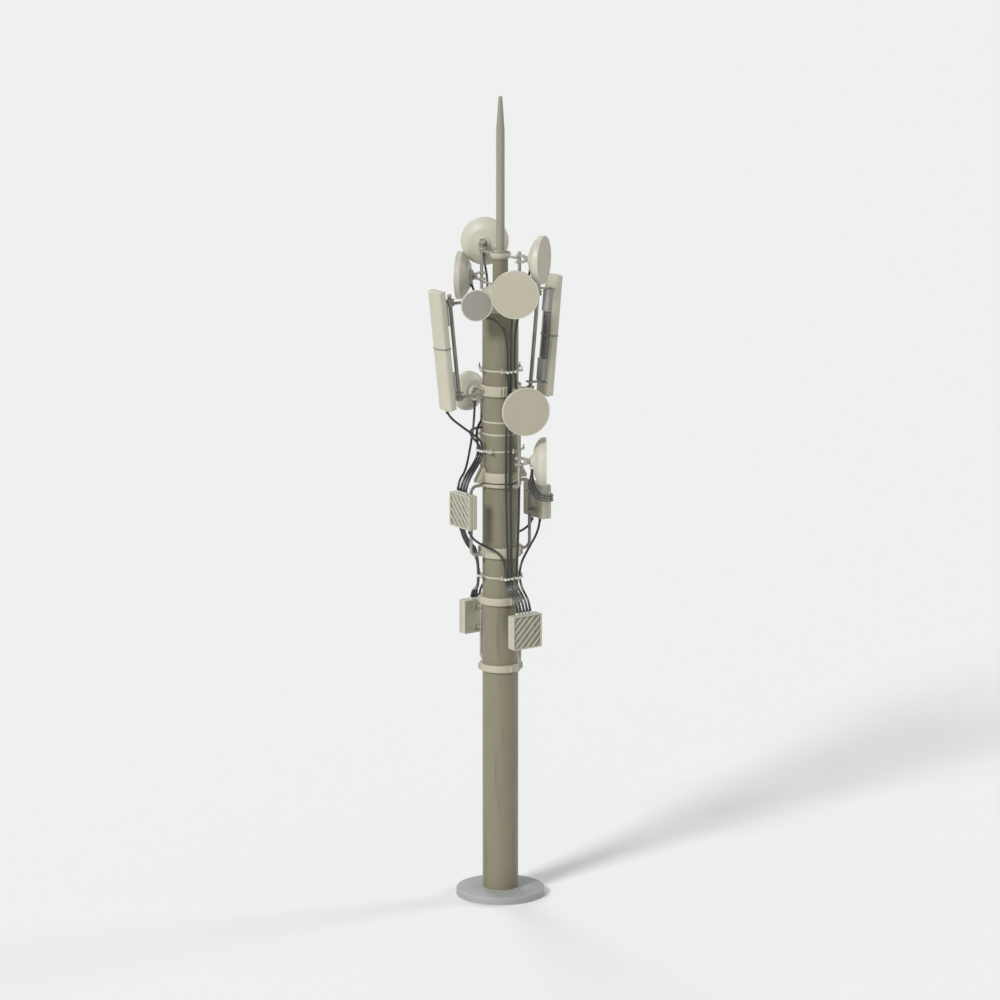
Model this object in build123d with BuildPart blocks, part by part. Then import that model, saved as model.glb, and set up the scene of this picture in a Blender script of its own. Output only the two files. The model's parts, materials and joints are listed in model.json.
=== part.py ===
from build123d import *

import os
from math import cos, radians, sin, tan

os.makedirs("parts", exist_ok=True)

# A cell tower: a tubular steel monopole on a round footing, with a spire on top, two sector
# panels, nine microwave dishes, four remote radio boxes and their feeder cables.
# Millimetres, +Z up. The origin is the centre of the footing's underside.
# Front is -Y, right is +X. The dish pipes stand front and rear, the panels left and right.
# A heading is an angle turned from the front towards the right.

# ---- Driving dimensions -------------------------------------------------------------

FIT = 0.3  # air left round a part that is clamped on a round seat

ROUND_SIDES = 36  # turned pieces are drawn with this many flat sides

BASE_DIAMETER = 1650
BASE_HEIGHT = 135
BASE_EDGE = 14

POLE_DIAMETER = 666
POLE_WALL = 10
POLE_TOP = 11500

CAP_SKIRT = 369  # how far the cap reaches down over the pole
CAP_WALL = 12
CAP_RISE = 102
CAP_SEAT_DIAMETER = 310

UPPER_POLE_DIAMETER = 286
UPPER_POLE_WALL = 8
UPPER_POLE_HEIGHT = 488

COLLAR_DIAMETER = 390
COLLAR_FOOT_DIAMETER = 336
COLLAR_HEIGHT = 111
COLLAR_RIM = 42
COLLAR_DISH_DEPTH = 34

SPIRE_DIAMETER = 156
SPIRE_FOOT_DIAMETER = 262
SPIRE_FLARE = 58
SPIRE_HEIGHT = 2917  # foot to tip
SPIRE_TAPER = 646
SPIRE_TIP_DIAMETER = 66

BAND_WALL = 54.7
BAND_SIDES = 24  # rings that repeat are drawn with this many flat sides
PANEL_BAND_HEIGHT = 191
DISH_BAND = (7856, 59)  # underside and height
UPPER_RADIO_BAND = (7943, 184)
UPPER_RADIO_FOOT_BAND = (6515, 193)
LOWER_RADIO_BAND = (5620, 137)
LOWER_RADIO_FOOT_BAND = (4345, 130)

POLE_STRAP_WALL = 10.7
POLE_STRAP_HEIGHT = 35
POLE_STRAP_BOTTOMS = (8823, 9055)

GUSSET_TOP_WIDTH = 40  # how far a gusset stands out from its band, at its top and its tip
GUSSET_TIP = 172
GUSSET_LIP = 58
GUSSET_RISE = 100  # how far a gusset stands above its band
GUSSET_THICKNESS = 14
GUSSET_GAP = 86
GUSSET_BOSS_DIAMETER = 84
GUSSET_BOSS_HEIGHT = 12

GUIDE_HEIGHT = 36
GUIDE_WALL = 16
GUIDE_BAR_LENGTH = 485
GUIDE_BAR_DEPTH = 40
GUIDE_PRONG = (14, 60)  # side and height
GUIDE_PRONG_SPACING = 446
GUIDE_RINGS = ((6123, 0), (8509, -90), (10020, 0))  # underside, heading of the first bar

PIPE_DIAMETER = 60
PIPE_SIDES = 12
PIPE_BEND = 120
BEND_STEP = 30  # an arc is drawn as chords that turn about this many degrees each
DISH_PIPE_STANDOFF = 217  # bands to the axes of the dish pipes
UPPER_DISH_PIPE = (-60, 810)  # ends, from the top of the pole
UPPER_ARM_DIAMETER = 44
UPPER_ARM_SPACE = 4

DISH_SIDES = 20
HUB_HEIGHT = 40
HUB_RADIUS = 120
RADOME_THICKNESS = 9
# Each reflector: rim radius, depth of its straight drum, depth of its domed back
LARGE = (440, 104, 140)
MEDIUM = (365, 90, 117)
SMALL = (286, 74, 92)

CLAMP_WIDTH = 116
CLAMP_DEPTH = 124
CLAMP_HEIGHT = 36
CLAMP_CORNER = 12
CLAMP_SPLIT = 8
CLAMP_SPACING = 116
CHEEK_GAP = 62
CHEEK_THICKNESS = 9
CHEEK_NOSE = 84
CHEEK_WINDOW = 84
HUB_PLATE_RADIUS = 92
HUB_PLATE_SIDES = 12
HUB_PLATE_THICKNESS = 12

PANEL_WIDTH = 380
PANEL_DEPTH = 180
PANEL_LENGTH = 2240
PANEL_SIDE_DEPTH = 96
PANEL_EDGE = 14
# Each panel: heading, distance out from the pole and down from its top to the panel's centre,
# outward tilt, gap back to its pipe
PANELS = {"left": (-90, 988, 980, 6.4, 293), "right": (90, 802, 955, 5.5, 368)}
PANEL_STRAPS = {"left": 30, "right": -13}  # where a strap goes round, along the panel
PANEL_STRAP_HEIGHT = 30
STRAP_WALL = 8
SPINE_WIDTH = 190
SPINE_DEPTH = 96
SPINE_WAIST_DEPTH = 40
SPINE_HEAD_LENGTH = 410
SPINE_LENGTH = 1706

PANEL_PIPE_DIAMETER = 73
PANEL_PIPE_OVER = 166  # how far the pipe goes on above its upper arm
PANEL_PIPE_CAP = 18
PANEL_ARM_DIAMETER = 62
PANEL_UPPER_ARM_DROP = 134  # each arm's root, down from the top of the pole
PANEL_LOWER_ARM_DROP = 1838
PANEL_ARM_SLOPE_DROP = 75  # how far the lower arm falls on its way out
PANEL_ARM_CLAMP = 104
PANEL_ARM_SOCKET = (96, 54)
PANEL_BRACKET_SPACE = 4  # between a bracket and what it stands next to
STUB_STANDOFF = 335  # pole to the stub's axis
STUB_SIDE = 58  # how far the stub stands in front of the arm
STUB_CLAMP_SPACING = 150
STUB_LENGTH = 260

RADIO_WIDTH = 640
RADIO_HEIGHT = 640
RADIO_DEPTH = 180
RADIO_CORNER = 26
RADIO_FRAME = 32
RADIO_RECESS = 22
RIB_HEIGHT = 16
RIB_WIDTH = 31
RIB_PITCH = 97
UPPER_RADIO_PLACE = (502, 7464)  # out from the pole, and height of the centre
LOWER_RADIO_PLACE = (463, 5220)
UPPER_RADIO_FOOT_PIPE = 70  # height of the pipe's lower end above its band's underside
RADIO_PIPE_GAP = 85  # pipe axis to the radio's back
RADIO_BRACKET_SPACING = 390
RADIO_BRACKET_PLATE = (250, 90, 14)

CABLE_DIAMETER = 44
CABLE_SIDES = 6
CABLE_BEND = 300  # the largest arc a cable takes between its clips
GLAND_LEAD = 120  # how far a cable keeps straight where it leaves a housing or a clip

# ---- Places worked out from them ----------------------------------------------------

POLE_RADIUS = POLE_DIAMETER / 2
BAND_BORE = POLE_RADIUS + FIT
BAND_RADIUS = BAND_BORE + BAND_WALL
BAND_FLAT = BAND_RADIUS * cos(radians(180 / BAND_SIDES))
BAND_TURN = 180 / BAND_SIDES
CAP_RADIUS = BAND_BORE + CAP_WALL
CAP_TURN = 180 / ROUND_SIDES
CAP_SKIRT_BOTTOM = POLE_TOP - CAP_SKIRT
CAP_SHOULDER = POLE_TOP + CAP_WALL
CAP_TOP = CAP_SHOULDER + CAP_RISE
COLLAR_BOTTOM = CAP_TOP + UPPER_POLE_HEIGHT
COLLAR_TOP = COLLAR_BOTTOM + COLLAR_HEIGHT
COLLAR_FLOOR = COLLAR_TOP - COLLAR_DISH_DEPTH
SPIRE_TOP = COLLAR_FLOOR + SPIRE_HEIGHT
PANEL_UPPER_ARM_HEIGHT = POLE_TOP - PANEL_UPPER_ARM_DROP
PANEL_LOWER_ARM_HEIGHT = POLE_TOP - PANEL_LOWER_ARM_DROP
PANEL_BAND = (PANEL_LOWER_ARM_HEIGHT - PANEL_BAND_HEIGHT / 2, PANEL_BAND_HEIGHT)
DISH_PIPE_REACH = BAND_RADIUS + DISH_PIPE_STANDOFF
LOWER_DISH_PIPE = (DISH_BAND[0] + DISH_BAND[1] / 2, PANEL_LOWER_ARM_HEIGHT)
UPPER_RADIO_CENTRE = (POLE_RADIUS + UPPER_RADIO_PLACE[0], UPPER_RADIO_PLACE[1])
LOWER_RADIO_CENTRE = (POLE_RADIUS + LOWER_RADIO_PLACE[0], LOWER_RADIO_PLACE[1])
UPPER_RADIO_PIPE = (UPPER_RADIO_FOOT_BAND[0] + UPPER_RADIO_FOOT_PIPE, LOWER_DISH_PIPE[0])
LOWER_RADIO_PIPE = (
    LOWER_RADIO_FOOT_BAND[0] + LOWER_RADIO_FOOT_BAND[1] / 2,
    LOWER_RADIO_BAND[0] + LOWER_RADIO_BAND[1] / 2,
)
PIPE_RADIUS = PIPE_DIAMETER / 2
CABLE_RADIUS = CABLE_DIAMETER / 2
GUIDE_FACE = BAND_BORE + GUIDE_WALL + GUIDE_BAR_DEPTH - FIT
UP = Vector(0, 0, 1)


def heading(angle):
    """Level unit vector, turned from the front (-Y) towards the right (+X)."""
    return Vector(sin(radians(angle)), -cos(radians(angle)), 0)


def at(angle, radius, height, side=0):
    """A point radius out along a heading, side to its right seen from outside, at a height."""
    return heading(angle) * radius + heading(angle + 90) * side + UP * height


def upright(angle, origin):
    """Plane across a heading: local x to the right, local y up, facing outward."""
    return Plane(origin=origin, x_dir=heading(angle + 90), z_dir=heading(angle))


def lengthwise(angle, origin):
    """Upright plane along a heading: local x outward, local y up."""
    return Plane(origin=origin, x_dir=heading(angle), z_dir=heading(angle + 90) * -1)


def level(angle, origin):
    """Level plane: local x outward along a heading."""
    return Plane(origin=origin, x_dir=heading(angle), z_dir=UP)


def save(name, piece):
    piece.part.label = name
    export_step(piece.part, f"parts/{name}.step")


def corners(plane, radius, sides):
    """Corners of a regular polygon whose flats touch a circle of the given radius."""
    first = Vector(radius / cos(radians(180 / sides)), 0, 0).rotate(Axis.Z, 180 / sides)
    turned = [first.rotate(Axis.Z, 360 * step / sides) for step in range(sides)]
    return [plane.from_local_coords(point) for point in turned]


def turned(plane, stations, sides=ROUND_SIDES):
    """A turned solid drawn with flat sides, through stations of distance and radius."""
    rings = [corners(plane.offset(distance), radius, sides) for distance, radius in stations]
    faces = [Face(Wire.make_polygon(rings[0])), Face(Wire.make_polygon(rings[-1]))]
    for near, far in zip(rings, rings[1:]):
        for step in range(sides):
            after = (step + 1) % sides
            quad = (near[step], near[after], far[after], far[step])
            faces.append(Face(Wire.make_polygon(quad)))
    return Solid(Shell(faces))


def add_tube(points, largest_bend, radius, sides):
    """Sweep a pipe or cable along straight runs joined by arcs, each drawn in short chords."""
    route = [points[0]]
    for before, corner, after in zip(points, points[1:], points[2:]):
        arriving = (corner - before).normalized()
        leaving = (after - corner).normalized()
        turn = radians(arriving.get_angle(leaving))
        steps = round(turn / radians(BEND_STEP))
        room = 0.45 * min((corner - before).length, (after - corner).length)
        bend = min(room / tan(turn / 2), largest_bend)
        inward = (leaving - arriving * cos(turn)) * (bend / sin(turn))
        start = corner - arriving * (bend * tan(turn / 2))
        for step in range(steps + 1 if steps else 0):
            angle = turn * step / steps
            route.append(start + arriving * (bend * sin(angle)) + inward * (1 - cos(angle)))
        if not steps:
            route.append(corner)
    with BuildLine() as line:
        Polyline(*route, points[-1])
    path = line.wires()[0]
    with BuildSketch(Plane(origin=path @ 0, z_dir=path % 0)) as section:
        RegularPolygon(radius, sides)
    sweep(section.sketch, path=path, transition=Transition.RIGHT)


# ---- Footing, pole, cap, collar and spire -------------------------------------------

with BuildPart() as base_disc:
    with BuildSketch(Plane.XY):
        Circle(BASE_DIAMETER / 2)
    extrude(amount=BASE_HEIGHT)
    chamfer(base_disc.edges().group_by(Axis.Z)[-1], BASE_EDGE)
save("base_disc", base_disc)

with BuildPart() as main_pole:
    with BuildSketch(Plane.XY.offset(BASE_HEIGHT)):
        Circle(POLE_RADIUS)
        Circle(POLE_RADIUS - POLE_WALL, mode=Mode.SUBTRACT)
    extrude(amount=POLE_TOP - BASE_HEIGHT)
save("main_pole", main_pole)

with BuildPart() as pole_cap:
    cap_profile = (
        (CAP_SKIRT_BOTTOM, CAP_RADIUS),
        (CAP_SHOULDER, CAP_RADIUS),
        (CAP_TOP, CAP_SEAT_DIAMETER / 2),
    )
    add(turned(Plane.XY, cap_profile))
    with BuildSketch(Plane.XY.offset(CAP_SKIRT_BOTTOM)):
        RegularPolygon(BAND_BORE, ROUND_SIDES, major_radius=False, rotation=CAP_TURN)
    extrude(amount=POLE_TOP - CAP_SKIRT_BOTTOM, mode=Mode.SUBTRACT)
save("pole_cap", pole_cap)

with BuildPart() as upper_pole:
    with BuildSketch(Plane.XY.offset(CAP_TOP)):
        RegularPolygon(UPPER_POLE_DIAMETER / 2, ROUND_SIDES)
        RegularPolygon(UPPER_POLE_DIAMETER / 2 - UPPER_POLE_WALL, ROUND_SIDES, mode=Mode.SUBTRACT)
    extrude(amount=UPPER_POLE_HEIGHT)
save("upper_pole", upper_pole)

with BuildPart() as top_collar:
    rim = COLLAR_DIAMETER / 2
    collar_profile = (
        (COLLAR_BOTTOM, COLLAR_FOOT_DIAMETER / 2),
        (COLLAR_BOTTOM + COLLAR_RIM, rim),
        (COLLAR_TOP, rim),
    )
    add(turned(Plane.XY, collar_profile))
    recess_profile = ((COLLAR_FLOOR, rim - 1.5 * COLLAR_RIM), (COLLAR_TOP, rim - COLLAR_RIM / 2))
    add(turned(Plane.XY, recess_profile), mode=Mode.SUBTRACT)
save("top_collar", top_collar)

with BuildPart() as spire:
    shaft = SPIRE_DIAMETER / 2
    spire_profile = (
        (COLLAR_FLOOR, SPIRE_FOOT_DIAMETER / 2),
        (COLLAR_FLOOR + SPIRE_FLARE, shaft),
        (SPIRE_TOP - SPIRE_TAPER, shaft),
        (SPIRE_TOP, SPIRE_TIP_DIAMETER / 2),
    )
    add(turned(Plane.XY, spire_profile, BAND_SIDES))
save("spire", spire)

# ---- Clamped bands and cable guides on the pole -------------------------------------


def add_bore():
    """Cut the pole's seat, a flat-sided bore that touches the pole along each side."""
    RegularPolygon(
        BAND_BORE, BAND_SIDES, major_radius=False, rotation=BAND_TURN, mode=Mode.SUBTRACT
    )


def add_band(bottom, height, wall=BAND_WALL):
    with BuildSketch(Plane.XY.offset(bottom)) as ring:
        RegularPolygon(BAND_BORE + wall, BAND_SIDES, rotation=BAND_TURN)
        add_bore()
    extrude(ring.sketch, amount=height)


for band_name, band_places in {
    "panel_band": (PANEL_BAND,),
    "dish_band": (DISH_BAND,),
    "lower_radio_band": (LOWER_RADIO_BAND,),
    "radio_foot_bands": (UPPER_RADIO_FOOT_BAND, LOWER_RADIO_FOOT_BAND),
}.items():
    with BuildPart() as band:
        for bottom, height in band_places:
            add_band(bottom, height)
    save(band_name, band)

with BuildPart() as pole_straps:
    for strap_bottom in POLE_STRAP_BOTTOMS:
        add_band(strap_bottom, POLE_STRAP_HEIGHT, POLE_STRAP_WALL)
save("pole_straps", pole_straps)

# The upper radio band carries a pair of gusset plates on each side, over the radio pipes,
# with a round boss on each plate's outer face.
with BuildPart() as upper_radio_band:
    band_bottom, band_height = UPPER_RADIO_BAND
    add_band(band_bottom, band_height)
    root = (POLE_RADIUS + BAND_RADIUS) / 2
    peak = band_bottom + band_height + GUSSET_RISE
    tip = BAND_RADIUS + GUSSET_TIP
    boss_centre = ((BAND_RADIUS + tip) / 2, band_bottom + band_height / 2)
    for gusset_heading in (-90, 90):
        for outside in (-1, 1):
            inner_face = at(gusset_heading, 0, 0, outside * GUSSET_GAP / 2)
            with BuildSketch(lengthwise(gusset_heading, inner_face)) as gusset:
                with BuildLine():
                    Polyline(
                        (root, band_bottom),
                        (tip, band_bottom),
                        (tip, band_bottom + GUSSET_LIP),
                        (BAND_RADIUS + GUSSET_TOP_WIDTH, peak),
                        (BAND_RADIUS, peak),
                        (root, band_bottom + band_height),
                        close=True,
                    )
                make_face()
            extrude(gusset.sketch, amount=-outside * GUSSET_THICKNESS)
            with BuildSketch(lengthwise(gusset_heading, inner_face)) as boss:
                with Locations(boss_centre):
                    RegularPolygon(GUSSET_BOSS_DIAMETER / 2, HUB_PLATE_SIDES)
            extrude(boss.sketch, amount=-outside * (GUSSET_THICKNESS + GUSSET_BOSS_HEIGHT))
save("upper_radio_band", upper_radio_band)

# Each guide ring has three straight bars that the feeder cables are clipped to, with an
# upright prong near both ends of a bar.
with BuildPart() as cable_guide_rings:
    for ring_bottom, first_bar in GUIDE_RINGS:
        bar_headings = [first_bar + turn for turn in (0, 120, 240)]
        bar_reach = GUIDE_FACE - GUIDE_BAR_DEPTH / 2
        with BuildSketch(Plane.XY.offset(ring_bottom)) as ring:
            RegularPolygon(
                BAND_BORE + GUIDE_WALL, BAND_SIDES, major_radius=False, rotation=BAND_TURN
            )
            for bar_heading in bar_headings:
                bar_centre = at(bar_heading, bar_reach, 0)
                with Locations(Location((bar_centre.X, bar_centre.Y), bar_heading)):
                    Rectangle(GUIDE_BAR_LENGTH, GUIDE_BAR_DEPTH)
            add_bore()
        extrude(ring.sketch, amount=GUIDE_HEIGHT)
        for bar_heading in bar_headings:
            for offset in (-GUIDE_PRONG_SPACING / 2, GUIDE_PRONG_SPACING / 2):
                prong_foot = at(bar_heading, bar_reach, ring_bottom + GUIDE_HEIGHT, offset)
                with BuildSketch(level(bar_heading, prong_foot)) as prong:
                    Rectangle(GUIDE_PRONG[0], GUIDE_PRONG[0])
                extrude(prong.sketch, amount=GUIDE_PRONG[1])
save("cable_guide_rings", cable_guide_rings)

# ---- Dish pipes ---------------------------------------------------------------------

FRONT_PIPE = at(0, DISH_PIPE_REACH, 0)
REAR_PIPE = at(180, DISH_PIPE_REACH, 0)
LEFT_STUB = at(-90, POLE_RADIUS + STUB_STANDOFF, 0, STUB_SIDE)

# name: pipe it hangs on, height, heading it looks along, pipe to hub distance, size
DISHES = {
    "rear_top_dish": (REAR_PIPE, POLE_TOP + 750, 138, 215, LARGE),
    "rear_upper_dish": (REAR_PIPE, POLE_TOP + 175, -134, 170, LARGE),
    "front_top_dish": (FRONT_PIPE, POLE_TOP + 675, 38, 190, LARGE),
    "front_upper_dish": (FRONT_PIPE, POLE_TOP + 90, -45, 215, LARGE),
    "left_arm_dish": (LEFT_STUB, PANEL_UPPER_ARM_HEIGHT, -23, 215, SMALL),
    "rear_middle_dish": (REAR_PIPE, 9464, -172, 170, MEDIUM),
    "rear_lower_dish": (REAR_PIPE, 8660, 120, 215, SMALL),
    "front_middle_dish": (FRONT_PIPE, 9415, -20, 215, LARGE),
    "front_lower_dish": (FRONT_PIPE, 8391, 55, 215, LARGE),
}


def add_c_pipe(angle, reach, bottom, top):
    """A pipe bent out of one band, down, and back in to the next."""
    route = (
        at(angle, BAND_FLAT, top),
        at(angle, reach, top),
        at(angle, reach, bottom),
        at(angle, BAND_FLAT, bottom),
    )
    add_tube(route, PIPE_BEND, PIPE_RADIUS, PIPE_SIDES)


def add_rod(start, end, diameter):
    """A straight round rod."""
    add_tube((start, end), 0, diameter / 2, PIPE_SIDES)


# The front arms enter between a dish's two clamps, the rear arms just below them.
ARM_DROP = (CLAMP_SPACING + CLAMP_HEIGHT + UPPER_ARM_DIAMETER) / 2 + UPPER_ARM_SPACE
UPPER_ARM_HEIGHTS = {
    0: (DISHES["front_upper_dish"][1], DISHES["front_top_dish"][1]),
    180: (DISHES["rear_upper_dish"][1] - ARM_DROP, DISHES["rear_top_dish"][1] - ARM_DROP),
}

with BuildPart() as upper_dish_pipes:
    for pipe_heading in (0, 180):
        low, high = UPPER_DISH_PIPE
        foot = at(pipe_heading, DISH_PIPE_REACH, POLE_TOP + low)
        add_rod(foot, foot + UP * (high - low), PIPE_DIAMETER)
        for arm_height in UPPER_ARM_HEIGHTS[pipe_heading]:
            tip = at(pipe_heading, DISH_PIPE_REACH, arm_height)
            add_rod(at(pipe_heading, 0, arm_height), tip, UPPER_ARM_DIAMETER)
    add(turned(Plane.XY, cap_profile), mode=Mode.SUBTRACT)
    add(turned(Plane.XY, collar_profile), mode=Mode.SUBTRACT)
save("upper_dish_pipes", upper_dish_pipes)

with BuildPart() as lower_dish_pipes:
    for pipe_heading in (0, 180):
        add_c_pipe(pipe_heading, DISH_PIPE_REACH, *LOWER_DISH_PIPE)
save("lower_dish_pipes", lower_dish_pipes)

# ---- Microwave dishes ---------------------------------------------------------------

def build_reflector(pipe, height, look, standoff, size):
    """Hub boss, domed back and straight drum; the back is closed behind the radome."""
    rim, drum, back = size
    origin = pipe + UP * height
    hub_plane = upright(look, origin + heading(look) * (standoff + HUB_HEIGHT))
    stations = (
        (0, HUB_RADIUS),
        (back * 0.12, HUB_RADIUS + (rim - HUB_RADIUS) * 0.36),
        (back * 0.48, HUB_RADIUS + (rim - HUB_RADIUS) * 0.76),
        (back, rim),
        (back + drum - RADOME_THICKNESS, rim),
    )
    with BuildPart() as shell:
        add(turned(hub_plane, stations, DISH_SIDES))
        with BuildSketch(upright(look, origin + heading(look) * standoff)) as boss:
            RegularPolygon(HUB_RADIUS, HUB_PLATE_SIDES)
        extrude(boss.sketch, amount=HUB_HEIGHT)
    return shell


for dish_name, place in DISHES.items():
    save(dish_name, build_reflector(*place))

with BuildPart() as dish_radomes:
    for pipe, height, look, standoff, (rim, drum, back) in DISHES.values():
        reach = standoff + HUB_HEIGHT + back + drum - RADOME_THICKNESS
        with BuildSketch(upright(look, pipe + UP * height + heading(look) * reach)) as disc:
            RegularPolygon(rim, DISH_SIDES, major_radius=False)
        extrude(disc.sketch, amount=RADOME_THICKNESS)
save("dish_radomes", dish_radomes)


def add_v_block(plane, pipe_radius, side, look=0):
    """Half of a pipe clamp, on side 1 or -1 of the pipe: a block with a V-notch whose faces
    lie on the pipe's flat sides, where the clamp is turned by look from the pipe's corners."""
    side_turn = 360 / PIPE_SIDES
    from_corner = (look + 45) % side_turn
    reach = pipe_radius * cos(radians(min(from_corner, side_turn - from_corner)))
    apex = (reach + FIT) * 2 ** 0.5
    split = CLAMP_SPLIT / 2
    back = CLAMP_DEPTH / 2
    half = CLAMP_WIDTH / 2
    with BuildSketch(plane) as block:
        with BuildLine():
            Polyline(
                (side * split, half),
                (side * back, half),
                (side * back, -half),
                (side * split, -half),
                (side * split, split - apex),
                (side * apex, 0),
                (side * split, apex - split),
                close=True,
            )
        make_face()
    extrude(block.sketch, amount=CLAMP_HEIGHT)


def add_dish_mount(pipe, height, look, standoff, spacing):
    """Two clamps on the pipe, a yoke of two windowed cheeks, and the plate on the hub."""
    origin = pipe + UP * height
    nose = standoff - HUB_PLATE_THICKNESS
    root = CLAMP_DEPTH / 2
    half_tall = (spacing + CLAMP_HEIGHT) / 2
    half_window = (spacing - CLAMP_HEIGHT) / 2
    for offset in (-spacing / 2, spacing / 2):
        clamp_plane = level(look, origin + UP * (offset - CLAMP_HEIGHT / 2))
        add_v_block(clamp_plane, PIPE_RADIUS, 1, look)
        add_v_block(clamp_plane, PIPE_RADIUS, -1, look)
    for offset in (-CHEEK_GAP / 2, CHEEK_GAP / 2):
        with BuildSketch(lengthwise(look, origin + heading(look + 90) * offset)) as cheek:
            with BuildLine():
                Polyline(
                    (root, half_tall),
                    (nose, CHEEK_NOSE / 2),
                    (nose, -CHEEK_NOSE / 2),
                    (root, -half_tall),
                    (root, -half_window),
                    (CHEEK_WINDOW, -CHEEK_NOSE / 4),
                    (CHEEK_WINDOW, CHEEK_NOSE / 4),
                    (root, half_window),
                    close=True,
                )
            make_face()
        extrude(cheek.sketch, amount=CHEEK_THICKNESS / 2, both=True)
    with BuildSketch(upright(look, origin + heading(look) * nose)) as plate:
        RegularPolygon(HUB_PLATE_RADIUS, HUB_PLATE_SIDES)
    extrude(plate.sketch, amount=HUB_PLATE_THICKNESS)


UPPER_DISHES = ("rear_top_dish", "rear_upper_dish", "front_top_dish", "front_upper_dish")
LOWER_DISHES = ("rear_middle_dish", "rear_lower_dish", "front_middle_dish", "front_lower_dish")
for mounts_name, members, spacing in (
    ("upper_dish_mounts", UPPER_DISHES, CLAMP_SPACING),
    ("lower_dish_mounts", LOWER_DISHES, CLAMP_SPACING),
    ("left_arm_dish_mount", ("left_arm_dish",), STUB_CLAMP_SPACING),
):
    with BuildPart() as mounts:
        for member in members:
            add_dish_mount(*DISHES[member][:4], spacing)
    save(mounts_name, mounts)

# ---- Sector panels, tilted outward at the top ---------------------------------------


def panel_plane(side, along=0, outward=0):
    """Section plane of a panel: local y outward, z up the panel's length."""
    angle, out, down, tilt, gap = PANELS[side]
    length_dir = heading(angle) * sin(radians(tilt)) + UP * cos(radians(tilt))
    out_dir = heading(angle) * cos(radians(tilt)) - UP * sin(radians(tilt))
    centre = at(angle, POLE_RADIUS + out, POLE_TOP - down)
    origin = centre + length_dir * along + out_dir * outward
    return Plane(origin=origin, x_dir=heading(angle + 90) * -1, z_dir=length_dir)


def pipe_plane(side, along):
    """Section plane of the pipe behind a panel: local x outward."""
    gap = PANELS[side][4]
    plane = panel_plane(side, along, -gap)
    return Plane(origin=plane.origin, x_dir=plane.y_dir, z_dir=plane.z_dir)


def panel_pipe_place(side, height):
    """Radius of the tilted pipe's axis at a height, and the distance along it."""
    angle, out, down, tilt, gap = PANELS[side]
    slope = radians(tilt)
    above = height - (POLE_TOP - down)
    pipe_radius = POLE_RADIUS + out - gap / cos(slope) + above * tan(slope)
    along = above / cos(slope) - gap * tan(slope)
    return pipe_radius, along


def panel_section(plane, grow=0):
    """Outline of a panel with its curved front, grown for a strap that goes round it."""
    half = PANEL_WIDTH / 2 + grow
    rear = -PANEL_DEPTH / 2 - grow
    front = PANEL_DEPTH / 2 + grow
    shoulder = PANEL_SIDE_DEPTH - PANEL_DEPTH / 2
    with BuildSketch(plane) as section:
        with BuildLine():
            Polyline((half, shoulder), (half, rear), (-half, rear), (-half, shoulder))
            ThreePointArc((-half, shoulder), (0, front), (half, shoulder))
        make_face()
        chamfer(section.vertices(), PANEL_EDGE)
    return section.sketch


for side_name in PANELS:
    with BuildPart() as panel:
        extrude(panel_section(panel_plane(side_name, -PANEL_LENGTH / 2)), amount=PANEL_LENGTH)
        length_axis = Axis(panel_plane(side_name).origin, panel_plane(side_name).z_dir)
        ends = panel.faces().sort_by(length_axis)
        chamfer(ends[-1].edges() + ends[0].edges(), PANEL_EDGE / 2)
    save(f"{side_name}_panel", panel)

# A flat strap goes round each panel and the waist of the housing on its back.
with BuildPart() as panel_straps:
    for side_name, along in PANEL_STRAPS.items():
        plane = panel_plane(side_name, along)
        with BuildSketch(panel_plane(side_name, along, -PANEL_DEPTH / 2)) as loop:
            with Locations((0, -SPINE_WAIST_DEPTH / 2)):
                Rectangle(SPINE_WIDTH + 2 * STRAP_WALL, SPINE_WAIST_DEPTH + 2 * STRAP_WALL)
        extrude(loop.sketch, amount=PANEL_STRAP_HEIGHT)
        extrude(panel_section(plane, STRAP_WALL), amount=PANEL_STRAP_HEIGHT)
        with BuildSketch(panel_plane(side_name, along, -PANEL_DEPTH / 2)) as waist:
            with Locations((0, -SPINE_WAIST_DEPTH / 2)):
                Rectangle(SPINE_WIDTH, SPINE_WAIST_DEPTH)
        extrude(waist.sketch, amount=PANEL_STRAP_HEIGHT, mode=Mode.SUBTRACT)
        extrude(panel_section(plane), amount=PANEL_STRAP_HEIGHT, mode=Mode.SUBTRACT)
save("panel_straps", panel_straps)

# The back of each panel carries a raised housing with a thinner waist.
with BuildPart() as panel_spines:
    for side_name in PANELS:
        waist = SPINE_LENGTH - 2 * SPINE_HEAD_LENGTH
        bottom = -SPINE_LENGTH / 2
        steps = (
            (bottom, SPINE_HEAD_LENGTH, SPINE_DEPTH),
            (bottom + SPINE_HEAD_LENGTH, waist, SPINE_WAIST_DEPTH),
            (bottom + SPINE_HEAD_LENGTH + waist, SPINE_HEAD_LENGTH, SPINE_DEPTH),
        )
        for start, length, depth in steps:
            section_plane = panel_plane(side_name, start, -(PANEL_DEPTH + depth) / 2)
            with BuildSketch(section_plane) as section:
                Rectangle(SPINE_WIDTH, depth)
            extrude(section.sketch, amount=length)
save("panel_spines", panel_spines)

with BuildPart() as panel_pipes:
    for side_name in PANELS:
        foot_along = panel_pipe_place(side_name, PANEL_LOWER_ARM_HEIGHT)[1] - PANEL_ARM_CLAMP
        cap_along = panel_pipe_place(side_name, PANEL_UPPER_ARM_HEIGHT)[1] + PANEL_PIPE_OVER
        with BuildSketch(pipe_plane(side_name, foot_along)) as section:
            RegularPolygon(PANEL_PIPE_DIAMETER / 2, PIPE_SIDES)
        extrude(section.sketch, amount=cap_along - foot_along)
        with BuildSketch(pipe_plane(side_name, cap_along)) as section:
            RegularPolygon(PANEL_PIPE_DIAMETER / 2, PIPE_SIDES)
        extrude(section.sketch, amount=PANEL_PIPE_CAP, taper=45)
save("panel_pipes", panel_pipes)

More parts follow.
